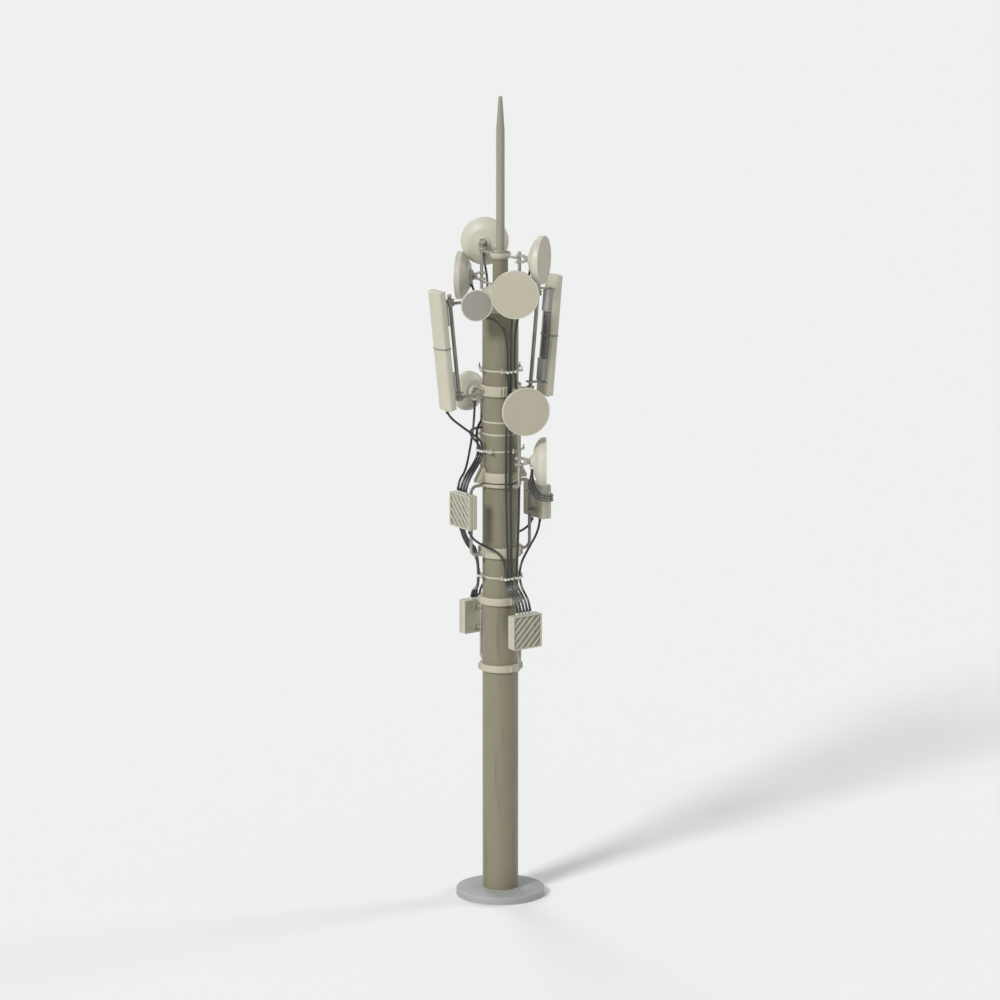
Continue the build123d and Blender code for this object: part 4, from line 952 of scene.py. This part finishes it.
for panel in PANELS:
    cover = bmesh.new()
    add_cover(cover, panel_place(panel), PANEL_LENGTH - 0.02, 0, 0)
    for end in (-1, 1):
        cap_middle = end * (PANEL_LENGTH - PANEL_CAP_LENGTH) / 2
        add_cover(cover, panel_place(panel, cap_middle), PANEL_CAP_LENGTH, PANEL_CAP_LIP, 0.018)
    for port in PANEL_PORTS:
        spot = panel_place(panel, -PANEL_LENGTH / 2, -0.02, port) @ Matrix.Rotation(pi, 4, "X")
        add_solid(cover, PORT, spot, 20)
    finish(cover, panel + "_cover", cover_paint, [panel + "_panel"])


# ---- Panel backs and straps ---------------------------------------------------------
# The back of each panel carries an aluminium housing, deep at both ends and thin between. A
# rolled steel strap goes round the panel and the thin part, closed by a screw on each side.

SPINE_WIDTH = 0.19
SPINE_HEAD_DEPTH = 0.096
SPINE_WAIST_DEPTH = 0.04
SPINE_HEAD_LENGTH = 0.41
SPINE_LENGTH = 1.706
PANEL_STRAPS = {"left": 0.03, "right": -0.013}
STRAP_HEIGHT = 0.03
STRAP_WALL = 0.008

housing_paint = painted(
    "housing_paint", (0.4, 0.405, 0.38), (0.33, 0.335, 0.315), (0.2, 0.2, 0.17), 0.38, 0.42, 0.0004, 20, 0.006
)
# The thin middle of the housing is painted dark as painted shade in the recess between its deep ends.
waist_painted_shade = painted(
    "waist_painted_shade", (0.22, 0.225, 0.215), (0.18, 0.183, 0.175), (0.1, 0.1, 0.09), 0.42, 0.5, 0.0004, 20, 0.003
)
heads = bmesh.new()
waists = bmesh.new()
for panel in PANELS:
    for end in (-1, 1):
        middle = end * (SPINE_LENGTH - SPINE_HEAD_LENGTH) / 2
        face = PANEL_REAR - SPINE_HEAD_DEPTH / 2
        head = (SPINE_WIDTH, SPINE_HEAD_DEPTH, SPINE_HEAD_LENGTH)
        add_block(heads, panel_place(panel, middle, face), head, 0.01, 3)
        lip = end * (SPINE_LENGTH / 2 - SPINE_HEAD_LENGTH + 0.008)
        lip_size = (SPINE_WIDTH + 0.008, SPINE_HEAD_DEPTH + 0.008, 0.016)
        add_block(heads, panel_place(panel, lip, face), lip_size, 0.004)
        for across in (-0.072, 0.072):
            for share in (-0.42, 0, 0.42):
                along = middle + share * SPINE_HEAD_LENGTH
                spot = panel_place(panel, along, PANEL_REAR - SPINE_HEAD_DEPTH, across)
                add_turned(heads, SCREW_HEAD, spot @ Matrix.Rotation(pi / 2, 4, "X"), 12)
    thin = SPINE_LENGTH - 2 * SPINE_HEAD_LENGTH + 0.01
    waist = panel_place(panel, 0, PANEL_REAR - SPINE_WAIST_DEPTH / 2)
    add_block(waists, waist, (SPINE_WIDTH - 0.002, SPINE_WAIST_DEPTH, thin), 0.006)
    for across in (-0.06, -0.03, 0, 0.03, 0.06):
        fin = panel_place(panel, 0, PANEL_REAR - SPINE_WAIST_DEPTH - 0.004, across)
        add_block(waists, fin, (0.008, 0.014, thin - 0.12), 0.003)
finish(heads, "housing_heads", housing_paint, ["panel_spines"])
finish(waists, "housing_waists", waist_painted_shade)

strap_zinc = galvanised("strap_zinc", (0.36, 0.35, 0.31), (0.29, 0.28, 0.25), 0.2, 0.4)
loops = bmesh.new()
for panel, along in PANEL_STRAPS.items():
    middle = along + STRAP_HEIGHT / 2
    add_cover(loops, panel_place(panel, middle), STRAP_HEIGHT, STRAP_WALL, 0.003)
    back = panel_place(panel, middle, PANEL_REAR - (SPINE_WAIST_DEPTH + 0.006) / 2)
    back_size = (SPINE_WIDTH + 2 * STRAP_WALL, SPINE_WAIST_DEPTH + STRAP_WALL, STRAP_HEIGHT)
    add_block(loops, back, back_size, 0.003)
    for end in (-1, 1):
        buckle = panel_place(panel, middle, -0.03, end * (PANEL_HALF_WIDTH + 0.009))
        add_block(loops, buckle, (0.012, 0.05, 0.024), 0.003)
        add_rod(loops, buckle @ Vector((0.003, -0.04, 0)), buckle @ Vector((0.003, 0.04, 0)), 0.005, 10)
finish(loops, "strap_loops", strap_zinc, ["panel_straps"])


# ---- Panel pipes, arms and brackets -------------------------------------------------
# Each panel hangs on its own leaning pipe. Two arms hold the pipe off the pole: their end
# blocks are bored for it, and the lower arm falls a little and starts in a wide socket.

PANEL_PIPE_RADIUS = 0.0365
PANEL_ARM_RADIUS = 0.031
PANEL_ARM_ROOT = 0.33
PANEL_UPPER_ARM = 11.366
PANEL_LOWER_ARM = 9.662
PANEL_ARM_FALL = 0.075
PANEL_ARM_CLAMP = 0.104
PANEL_PIPE_OVER = 0.166
PANEL_PIPE_CAP = 0.018
ARM_SOCKET_RADIUS = 0.048
ARM_SOCKET_LENGTH = 0.054
BRACKET_SPACE = 0.004
STUB_REACH = 0.668
STUB_SIDE = 0.058
STUB_LENGTH = 0.26


def panel_pipe_point(panel, height):
    """Distance from the middle of the pole, and along the panel, where its pipe is at a height."""
    reach, panel_height, tilt, gap = PANELS[panel][1:]
    slope = radians(tilt)
    above = height - panel_height
    along = above / cos(slope) - gap * sin(slope) / cos(slope)
    return reach - gap / cos(slope) + above * sin(slope) / cos(slope), along


leaning_pipes = bmesh.new()
arms = bmesh.new()
brackets = bmesh.new()
bracket_bolts = bmesh.new()
for panel, (angle, *_, gap) in PANELS.items():
    # The pipe has a cap pressed over its upper end.
    foot = panel_pipe_point(panel, PANEL_LOWER_ARM)[1] - PANEL_ARM_CLAMP
    upper_along = panel_pipe_point(panel, PANEL_UPPER_ARM)[1]
    length = upper_along + PANEL_PIPE_OVER - foot
    capped = near(PANEL_PIPE_RADIUS, length, (0, -0.03), (0.004, -0.028), (0.004, 0))
    capped += near(PANEL_PIPE_RADIUS, length, (-0.006, PANEL_PIPE_CAP * 0.7), (-0.018, PANEL_PIPE_CAP))
    outline = near(PANEL_PIPE_RADIUS, 0, (-0.004, 0), (0, 0.004)) + capped
    add_solid(leaning_pipes, outline, panel_place(panel, foot, -gap), 32)

    # Each arm ends in a bolted block round the pipe.
    for root_height, fall in ((PANEL_UPPER_ARM, 0), (PANEL_LOWER_ARM, PANEL_ARM_FALL)):
        end_reach, end_along = panel_pipe_point(panel, root_height - fall)
        root = at(angle, PANEL_ARM_ROOT, root_height - fall * PANEL_ARM_ROOT / end_reach)
        add_rod(arms, root, at(angle, end_reach, root_height - fall), PANEL_ARM_RADIUS, 32)
        block = panel_place(panel, end_along, -gap)
        add_block(arms, block, (PANEL_ARM_CLAMP, PANEL_ARM_CLAMP, PANEL_ARM_CLAMP), 0.012, 3)
        for side, rise in CORNERS:
            spot = shift(block, side * 0.043, PANEL_ARM_CLAMP / 2, rise * 0.03)
            add_nut(bracket_bolts, spot @ Matrix.Rotation(-pi / 2, 4, "X"), 0.02, 0.01)
    socket_end = BAND_RADIUS + ARM_SOCKET_LENGTH
    lower_socket = [(0, PANEL_ARM_ROOT), (ARM_SOCKET_RADIUS + 0.006, PANEL_ARM_ROOT)]
    lower_socket += near(ARM_SOCKET_RADIUS, BAND_RADIUS, (0.006, 0.008), (0, 0.014))
    lower_socket += near(ARM_SOCKET_RADIUS, socket_end, (0, -0.005), (-0.005, 0))
    lower_socket += [(PANEL_ARM_RADIUS - 0.002, socket_end)]
    add_turned(arms, lower_socket, aim(at(angle, 0, PANEL_LOWER_ARM), heading(angle)), 40)
    upper_socket = [(0, PANEL_ARM_ROOT), (PANEL_ARM_RADIUS + 0.016, PANEL_ARM_ROOT)]
    upper_socket += near(PANEL_ARM_RADIUS, CAP_RADIUS, (0.016, 0.006), (0.006, 0.012), (-0.001, 0.024))
    add_turned(arms, upper_socket, aim(at(angle, 0, PANEL_UPPER_ARM), heading(angle)), 40)

    # A clamp above and one below the housing carry the panel on a web and a flat plate.
    web_start = CLAMP_DEPTH / 2
    web_end = gap + PANEL_REAR
    clear = BRACKET_SPACE + CLAMP_HEIGHT / 2
    high = max(SPINE_LENGTH / 2, upper_along + PANEL_ARM_CLAMP / 2) + clear
    for along in (-SPINE_LENGTH / 2 - clear, high):
        middle = panel_place(panel, along, -gap)
        add_clamp(brackets, bracket_bolts, middle @ Matrix.Rotation(pi / 2, 4, "Z"), PANEL_PIPE_RADIUS)
        web = (CHEEK_GAP, web_end - web_start, CLAMP_HEIGHT)
        add_block(brackets, shift(middle, 0, (web_start + web_end) / 2, 0), web, 0.003)
        plate = (PANEL_HALF_WIDTH * 1.6, CHEEK_THICKNESS, CLAMP_HEIGHT)
        add_block(brackets, shift(middle, 0, web_end - CHEEK_THICKNESS / 2, 0), plate, 0.002)
        for side in (-0.12, 0.12):
            spot = shift(middle, side, web_end - CHEEK_THICKNESS, 0) @ Matrix.Rotation(pi / 2, 4, "X")
            add_nut(bracket_bolts, spot, 0.02, 0.01)
stub_foot = at(-90, STUB_REACH, PANEL_UPPER_ARM - STUB_LENGTH / 2, STUB_SIDE)
add_rod(arms, stub_foot, stub_foot + UP * STUB_LENGTH, PIPE_RADIUS)
finish(leaning_pipes, "leaning_pipes", pipe_zinc, ["panel_pipes"])
finish(arms, "panel_arm_tubes", pipe_zinc, ["panel_arms"])
finish(brackets, "bracket_clamps", clamp_zinc, ["panel_brackets"])
finish(bracket_bolts, "bracket_bolts", bolt_zinc)


# ---- Remote radio boxes -------------------------------------------------------------
# Each radio is a cast aluminium tray and cover on a rubber seal, painted cream. The cover is
# a heat sink: slanting ribs stand in a shallow field, and its floor is painted dark as the shade between the
# ribs.

RADIO_SIZE = 0.64
RADIO_DEPTH = 0.18
RADIO_CORNER = 0.026
RADIO_FRAME = 0.032
RADIO_RECESS = 0.022
RADIO_JOINT = 0.014
RADIO_SCREW_REACH = 0.296
RADIO_SCREW = [(0, -0.002), (0.009, -0.002), (0.009, 0.002), (0.007, 0.004), (0, 0.0045)]
RIB_HEIGHT = 0.016
RIB_WIDTH = 0.031
RIB_PITCH = 0.097
SEAL_DEPTH = 0.005
# heading, distance of the box's middle from the middle of the pole, height, slope of the ribs
RADIOS = {
    "upper_left_radio": (-90, 0.835, 7.464, -1),
    "upper_right_radio": (90, 0.835, 7.464, -1),
    "lower_front_radio": (0, 0.796, 5.22, 1),
    "lower_rear_radio": (180, 0.796, 5.22, 1),
}

radio_paint = painted(
    "radio_paint", (0.49, 0.465, 0.36), (0.435, 0.415, 0.325), (0.28, 0.26, 0.2), 0.28, 0.4, 0.0004, 16, 0.007
)
# The dark floor between the ribs is painted shade.
sink_floor_painted_shade = painted(
    "sink_floor_painted_shade", (0.32, 0.308, 0.25), (0.27, 0.26, 0.21), (0.11, 0.105, 0.08), 0.4, 0.55, 0.0004, 16, 0.003
)
connector_plastic = painted(
    "connector_plastic", (0.68, 0.68, 0.64), (0.6, 0.6, 0.56), (0.35, 0.34, 0.3), 0.25, 0.32,
    0.0002, 40, 0.001,
)


def add_tray(piece, place, width, start, end, frame=0.0, recess=0.0, ease=0.004):
    """A square box with round corners, whose front or back may have a shallow framed field."""
    shape = bmesh.new()
    depth = end - start
    bmesh.ops.create_cube(shape, size=1, matrix=Matrix.Diagonal((width, depth, width, 1)))
    bmesh.ops.translate(shape, verts=shape.verts, vec=(0, (start + end) / 2, 0))
    if frame:
        look = 1 if recess > 0 else -1
        field = [face for face in shape.faces if face.normal.y * look > 0.9]
        bmesh.ops.inset_region(shape, faces=field, thickness=frame, use_even_offset=True)
        grown = bmesh.ops.extrude_face_region(shape, geom=field)["geom"]
        bmesh.ops.delete(shape, geom=field, context="FACES")
        bmesh.ops.translate(shape, verts=only(BMVert, grown), vec=(0, -recess, 0))
    posts = [edge for edge in shape.edges if abs(edge.verts[0].co.y - edge.verts[1].co.y) > depth / 2]
    ease_edges(shape, posts, RADIO_CORNER, 6)
    bmesh.ops.recalc_face_normals(shape, faces=shape.faces)
    rims = [edge for edge in shape.edges if edge.is_manifold and edge.calc_face_angle() > 1.2]
    ease_edges(shape, rims, ease)
    add_shape(piece, shape, place)


def add_rib(piece, place, across, slope, base):
    """One slanting rib, cut off square at the edges of its field."""
    half = RADIO_SIZE / 2 - RADIO_FRAME
    shape = bmesh.new()
    size = (2.4 * RADIO_SIZE, RIB_HEIGHT, RIB_WIDTH, 1)
    bmesh.ops.create_cube(shape, size=1, matrix=Matrix.Diagonal(size))
    middle = Matrix.Translation((across, base + RIB_HEIGHT / 2, 0))
    bmesh.ops.transform(
        shape, matrix=middle @ Matrix.Rotation(radians(45 * slope), 4, "Y"), verts=shape.verts
    )
    for outward in ((1, 0, 0), (-1, 0, 0), (0, 0, 1), (0, 0, -1)):
        bmesh.ops.bisect_plane(
            shape,
            geom=shape.verts[:] + shape.edges[:] + shape.faces[:],
            plane_co=Vector(outward) * half,
            plane_no=outward,
            clear_outer=True,
        )
        bmesh.ops.holes_fill(shape, edges=[edge for edge in shape.edges if edge.is_boundary])
    if not shape.faces:
        shape.free()
        return
    bmesh.ops.remove_doubles(shape, verts=shape.verts, dist=1e-4)
    bmesh.ops.recalc_face_normals(shape, faces=shape.faces)
    crest = base + RIB_HEIGHT * 0.9
    crests = [edge for edge in shape.edges if min(vert.co.y for vert in edge.verts) > crest]
    ease_edges(shape, crests, 0.004)
    add_shape(piece, shape, place)


seals = bmesh.new()
sink_floor_shade_sheets = bmesh.new()
for radio_name, (angle, reach, height, slope) in RADIOS.items():
    box = bmesh.new()
    middle = facing(angle, at(angle, reach, height))
    front = RADIO_DEPTH / 2
    cover_start = RADIO_JOINT + SEAL_DEPTH
    add_tray(box, middle, RADIO_SIZE - 0.004, -front, RADIO_JOINT, 0.03, -0.006)
    add_tray(box, middle, RADIO_SIZE, cover_start, front, RADIO_FRAME - 0.004, RADIO_RECESS, 0.006)
    add_tray(seals, middle, RADIO_SIZE - 0.012, RADIO_JOINT - 0.004, cover_start + 0.004, ease=0.001)
    floor_at = front - RADIO_RECESS
    for step in range(-4, 5):
        add_rib(box, middle, step * RIB_PITCH * 2**0.5, slope, floor_at)
    # A thin dark sheet on the field's floor is painted shade between the ribs.
    field = RADIO_SIZE - 2 * RADIO_FRAME
    add_block(sink_floor_shade_sheets, shift(middle, 0, floor_at + 0.001, 0), (field, 0.003, field), 0.0005)
    for across in (-1, 0, 1):
        for rise in (-1, 0, 1):
            if across or rise:
                spot = shift(middle, across * RADIO_SCREW_REACH, front - 0.001, rise * RADIO_SCREW_REACH)
                add_turned(box, RADIO_SCREW, spot @ Matrix.Rotation(-pi / 2, 4, "X"), 12)
    finish(box, radio_name + "_box", radio_paint, [radio_name])
rubber = painted(
    "rubber", (0.03, 0.03, 0.032), (0.045, 0.045, 0.046), (0.06, 0.06, 0.055), 0.4, 0.6, 0.0002, 30, 0.001
)
finish(seals, "radio_seals", rubber)
finish(sink_floor_shade_sheets, "radio_sink_floor_shade", sink_floor_painted_shade)


# ---- Radio pipes and brackets -------------------------------------------------------
# A bent tube between two bands carries each radio. Two pairs of V-blocks grip it, and a
# bolted plate on each pair holds the back of the box.

UPPER_RADIO_PIPE = (0.66, 6.585, 7.8855)
LOWER_RADIO_PIPE = (0.621, 4.41, 5.6885)
RADIO_PIPE_GAP = 0.085  # from the middle of the pipe to the back of the box
RADIO_BRACKET_SPACING = 0.39
RADIO_BRACKET_PLATE = (0.25, 0.023, 0.09)

for pipes_name, headings, (reach, bottom, top), upper_socket in (
    ("upper_radio_pipes", (-90, 90), UPPER_RADIO_PIPE, 0.052),
    ("lower_radio_pipes", (0, 180), LOWER_RADIO_PIPE, 0.1),
):
    bent = bmesh.new()
    sockets = bmesh.new()
    for angle in headings:
        add_c_pipe(bent, angle, reach, bottom, top)
        add_socket(sockets, angle, bottom, 0.1)
        add_socket(sockets, angle, top, upper_socket, 0.04)
    finish(bent, pipes_name + "_bent", pipe_zinc, [pipes_name])
    finish(sockets, pipes_name + "_sockets", band_paint)

holders = bmesh.new()
holder_bolts = bmesh.new()
for angle, reach, height, _ in RADIOS.values():
    pipe_reach = reach - RADIO_DEPTH / 2 - RADIO_PIPE_GAP
    plate_back = pipe_reach + CLAMP_DEPTH / 2
    for offset in (-RADIO_BRACKET_SPACING / 2, RADIO_BRACKET_SPACING / 2):
        add_clamp(holders, holder_bolts, level(angle, at(angle, pipe_reach, height + offset)), PIPE_RADIUS)
        plate = facing(angle, at(angle, plate_back + RADIO_BRACKET_PLATE[1] / 2, height + offset))
        add_block(holders, plate, RADIO_BRACKET_PLATE, 0.004)
        for side, rise in CORNERS:
            spot = at(angle, plate_back, height + offset + rise * 0.027, side * 0.1)
            add_nut(holder_bolts, aim(spot, -heading(angle)), 0.022, 0.01)
finish(holders, "radio_bracket_clamps", clamp_zinc, ["radio_brackets"])
finish(holder_bolts, "radio_bracket_bolts", bolt_zinc)


# ---- Feeder cables ------------------------------------------------------------------
# Black-sheathed coaxial feeders run from the dishes and a panel to the radios. They lie over
# the guide bars in moulded clips, and enter every housing through a gland and a soft boot.

CABLE_RADIUS = 0.022
CLIP = [(0.021, -0.02), (0.0275, -0.02), (0.03, -0.016), (0.03, 0.016), (0.0275, 0.02), (0.021, 0.02)]
CLIP_SCREW = [(0, 0), (0.006, 0), (0.006, 0.003), (0, 0.005)]
SADDLE_ROOT = 0.386
CLIP_REACH = (0.37, 0.47)  # distances from the middle of the pole where a cable lies on a bar
CLIP_ASIDE = 0.24  # farthest from the middle of the bar
GLAND_RADIUS = 0.036
GLAND_LENGTH = 0.022
GLAND_RING = [(0.02, 0.018), (0.031, 0.018), (0.031, 0.03), (0.028, 0.034), (0.02, 0.034)]
BOOT = [(0.02, 0.03), (0.0275, 0.03), (0.0275, 0.04), (0.0262, 0.042), (0.0268, 0.05)]
BOOT += [(0.0254, 0.053), (0.0258, 0.069), (0.0238, 0.085), (0.02, 0.085)]
PORT_CAP = [(0, 0), (0.019, 0), (0.019, 0.012), (0.015, 0.014), (0.015, 0.03)]
PORT_CAP += [(0.018, 0.032), (0.018, 0.05), (0.012, 0.056), (0, 0.056)]
SIDE_PORT = (-0.89, 0.319, 7.559)
SIDE_PORT_PITCH = 0.05
FEEDERS = {
    "front_feeder_cables": [
        [
            (-0.7586, -0.2716, 11.246), (-0.7586, -0.2716, 11.126), (-0.3145, -0.3493, 11.06),
            (-0.124, -0.412, 10.7), (-0.12, -0.412, 9.95), (-0.096, -0.412, 9.74), (-0.165, -0.412, 8.9),
            (-0.165, -0.412, 7.76), (-0.1089, -0.412, 6.267), (-0.099, -0.412, 6.003),
            (-0.076, -0.76, 5.74), (-0.076, -0.76, 5.54),
        ],
        [
            (-0.164, -0.769, 11.47), (-0.164, -0.769, 11.35), (-0.052, -0.412, 11), (-0.044, -0.412, 10.1),
            (-0.062, -0.412, 9.1), (-0.062, -0.412, 7.76), (-0.0263, -0.412, 6.267),
            (-0.02, -0.412, 6.003), (-0.004, -0.76, 5.74), (-0.004, -0.76, 5.54),
        ],
        [
            (0.1274, -0.7681, 12.055), (0.1274, -0.7681, 11.935), (0.096, -0.472, 11.15),
            (0.04, -0.412, 10.8), (0.034, -0.412, 10.1), (0.064, -0.412, 9.75), (0.142, -0.412, 9.3),
            (0.142, -0.412, 7.6), (0.0819, -0.412, 6.267), (0.07, -0.412, 6.003), (0.066, -0.76, 5.74),
            (0.066, -0.76, 5.54),
        ],
        [
            (-0.835, -0.199, 7.144), (-0.835, -0.199, 7.024), (-0.59, -0.197, 6.821),
            (-0.29, -0.36, 6.671), (-0.172, -0.416, 6.422), (-0.165, -0.412, 6.003), (-0.15, -0.76, 5.74),
            (-0.15, -0.76, 5.54),
        ],
        [
            (0.835, -0.085, 7.144), (0.835, -0.085, 6.914), (0.35, -0.34, 6.59), (0.146, -0.416, 6.36),
            (0.15, -0.412, 6.003), (0.136, -0.76, 5.74), (0.136, -0.76, 5.54),
        ],
    ],
    "left_feeder_cables": [
        [
            (-1.1962, 0, 9.407), (-1.1828, 0, 9.2877), (-0.83, -0.03, 9.01), (-0.47, -0.02, 8.76),
            (-0.412, -0.006, 8.629), (-0.412, -0.004, 8.389), (-0.835, -0.088, 7.984),
            (-0.835, -0.088, 7.784),
        ],
        [
            (0.2009, 0.721, 8.78), (0.2009, 0.721, 8.9), (0.0767, 0.484, 8.86), (-0.305, 0.5283, 8.85),
            (-0.5671, 0.1626, 8.82), (-0.412, 0.066, 8.629), (-0.412, 0.066, 8.389),
            (-0.835, -0.005, 7.984), (-0.835, -0.005, 7.784),
        ],
        [
            (0.1552, 0.7774, 12.13), (0.1552, 0.7774, 12.01), (0.0903, 0.5121, 11.56), (-0.064, 0.432, 11),
            (-0.064, 0.432, 9.08), (-0.3021, 0.36, 8.86), (-0.418, 0.132, 8.659), (-0.412, 0.134, 8.389),
            (-0.835, 0.078, 7.984), (-0.835, 0.078, 7.784),
        ],
        [
            (-0.026, 0.7902, 9.344), (-0.026, 0.7902, 9.224), (-0.08, 0.75, 8.861), (-0.24, 0.62, 8.495),
            (-0.6, 0.26, 8.13), (-0.835, 0.165, 7.984), (-0.835, 0.165, 7.784),
        ],
    ],
    "right_feeder_cables": [
        [
            (0.1556, -0.7872, 8.2871), (0.1212, -0.8364, 8.1832), (0.16, -0.67, 7.92),
            (0.385, -0.6, 7.635), (0.65, -0.54, 7.55), (0.89, -0.44, 7.509), (0.89, -0.32, 7.509),
        ],
        [
            (0.19, -0.7381, 8.271), (0.19, -0.7381, 8.151), (0.215, -0.67, 7.94), (0.42, -0.6, 7.68),
            (0.65, -0.54, 7.6), (0.89, -0.44, 7.559), (0.89, -0.32, 7.559),
        ],
        [
            (0.2245, -0.6889, 8.2871), (0.2589, -0.6398, 8.1832), (0.27, -0.67, 7.96),
            (0.455, -0.6, 7.725), (0.65, -0.54, 7.65), (0.89, -0.44, 7.609), (0.89, -0.32, 7.609),
        ],
    ],
    "rear_feeder_cables": [
        [
            (-0.1345, 0.7349, 11.555), (-0.1345, 0.7349, 11.435), (0.064, 0.452, 11),
            (0.064, 0.4331, 6.267), (0.064, 0.432, 6.003), (0.052, 0.76, 5.74), (0.052, 0.76, 5.54),
        ],
        [
            (0.785, 0.09, 7.144), (0.785, 0.09, 7.024), (0.59, 0.09, 6.9), (0.45, 0.12, 6.86),
            (0.3868, 0.154, 6.48), (0.3668, 0.1887, 6.003), (0.12, 0.76, 5.74), (0.12, 0.76, 5.54),
        ],
        [
            (-0.775, 0.17, 7.144), (-0.775, 0.17, 7.024), (-0.62, 0.176, 6.73), (-0.46, 0.244, 6.63),
            (-0.3298, 0.2528, 6.363), (-0.3298, 0.2528, 6.003), (-0.01, 0.76, 5.74), (-0.01, 0.76, 5.54),
        ],
        [
            (-0.775, 0.116, 7.144), (-0.775, 0.116, 7.024), (-0.62, 0.122, 6.76), (-0.46, 0.19, 6.66),
            (-0.3568, 0.206, 6.363), (-0.3568, 0.206, 5.943), (-0.066, 0.76, 5.74), (-0.066, 0.76, 5.54),
        ],
        [
            (-0.775, 0.062, 7.144), (-0.775, 0.062, 7.024), (-0.62, 0.068, 6.79), (-0.46, 0.136, 6.69),
            (-0.3838, 0.1592, 6.363), (-0.3838, 0.1592, 5.883), (-0.122, 0.76, 5.74), (-0.122, 0.76, 5.54),
        ],
    ],
}


cable_sheath, tree, shader = new_material("cable_sheath")
skin = add_node(tree, "Group", {"Peel Scale": 420, "Patch Scale": 5}, node_tree=paint_skin)
rain = add_node(tree, "Group", {"Width": 26}, node_tree=rain_streaks)
dusty = blend(tree, (0.012, 0.012, 0.013, 1), (0.028, 0.0275, 0.026, 1), (rain, "Mask"))
feed(tree, shader, {"Coat Weight": 0.6, "Coat Roughness": 0.22, "Base Color": (dusty, "Result")})
add_relief(tree, shader, skin, "Patches", "Peel", (0.3, 0.5), 0.0003, 0.3)


def lay_cables(name, routes, radius):
    """Smooth cables through their routes' points, as one curve object."""
    lines = bpy.data.curves.new(name, "CURVE")
    lines.dimensions = "3D"
    lines.bevel_depth = radius
    lines.bevel_resolution = 5
    lines.resolution_u = 10
    lines.use_fill_caps = radius > 0
    for route in routes:
        line = lines.splines.new("NURBS")
        line.points.add(len(route) - 1)
        for point, spot in zip(line.points, route):
            point.co = (*spot, 1)
        line.order_u = 3
        line.use_endpoint_u = True
        line.use_smooth = True
    return show(name, lines)


def points_along(route):
    """Points that a laid cable's middle passes through."""
    laid = lay_cables("line", [route], 0)
    read = bpy.data.meshes.new_from_object(laid)
    points = [vert.co.copy() for vert in read.vertices]
    lines = laid.data
    bpy.data.objects.remove(laid)
    bpy.data.curves.remove(lines)
    bpy.data.meshes.remove(read)
    return points


def add_gland(nuts, boots, spot, direction):
    """A gland nut on a housing and the tapered boot that leads the cable out of it."""
    place = aim(spot, direction)
    shape = bmesh.new()
    bmesh.ops.create_cone(
        shape, cap_ends=True, segments=8, radius1=GLAND_RADIUS, radius2=GLAND_RADIUS, depth=GLAND_LENGTH
    )
    ease_edges(shape, shape.edges[:], 0.003)
    add_shape(nuts, shape, shift(place, 0, 0, GLAND_LENGTH / 2))
    add_turned(nuts, GLAND_RING, place, 24)
    add_turned(boots, BOOT, place, 24)


def add_clip(clips, spot, run, bar_heading):
    """A clip round a cable where it crosses a guide bar, on a saddle with two screws."""
    out = heading(bar_heading)
    add_turned(clips, CLIP, aim(spot, run), 24)
    root = spot - out * (spot.dot(out) - SADDLE_ROOT)
    saddle = facing(bar_heading, (spot + root) / 2)
    add_block(clips, saddle, (0.05, max(spot.dot(out) - SADDLE_ROOT, 0.02), 0.026), 0.004)
    for side in (-1, 1):
        screw = root + out * 0.014 + heading(bar_heading + 90) * side * 0.017
        add_turned(clips, CLIP_SCREW, aim(screw + UP * 0.012, UP), 10)


glands = bmesh.new()
boots = bmesh.new()
clips = bmesh.new()
bars = [
    (bottom + GUIDE_THICKNESS / 2, first_bar + turn)
    for bottom, first_bar in GUIDE_RINGS
    for turn in (0, 120, 240)
]
for group_name, routes in FEEDERS.items():
    cables = lay_cables(group_name + "_laid", routes, CABLE_RADIUS)
    cables.data.materials.append(cable_sheath)
    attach(cables, "root")
    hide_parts(group_name)
    for route in routes:
        for first, second in ((route[0], route[1]), (route[-1], route[-2])):
            add_gland(glands, boots, Vector(first), Vector(second) - Vector(first))
        line = points_along(route)
        for before, after in zip(line, line[1:]):
            for bar_height, bar_heading in bars:
                if (before.z - bar_height) * (after.z - bar_height) > 0 or before.z == bar_height:
                    continue
                spot = before.lerp(after, (bar_height - before.z) / (after.z - before.z))
                aside = abs(spot.dot(heading(bar_heading + 90)))
                if CLIP_REACH[0] < spot.dot(heading(bar_heading)) < CLIP_REACH[1] and aside <= CLIP_ASIDE:
                    add_clip(clips, spot, after - before, bar_heading)

# Three unused ports on the side of the upper left radio are closed by caps.
for rise in (-SIDE_PORT_PITCH, 0, SIDE_PORT_PITCH):
    add_turned(glands, PORT_CAP, aim(Vector(SIDE_PORT) + UP * rise, (0, 1, 0)), 20)
finish(glands, "cable_glands", connector_plastic)
finish(boots, "cable_boots", rubber)
finish(clips, "cable_clips", connector_plastic)
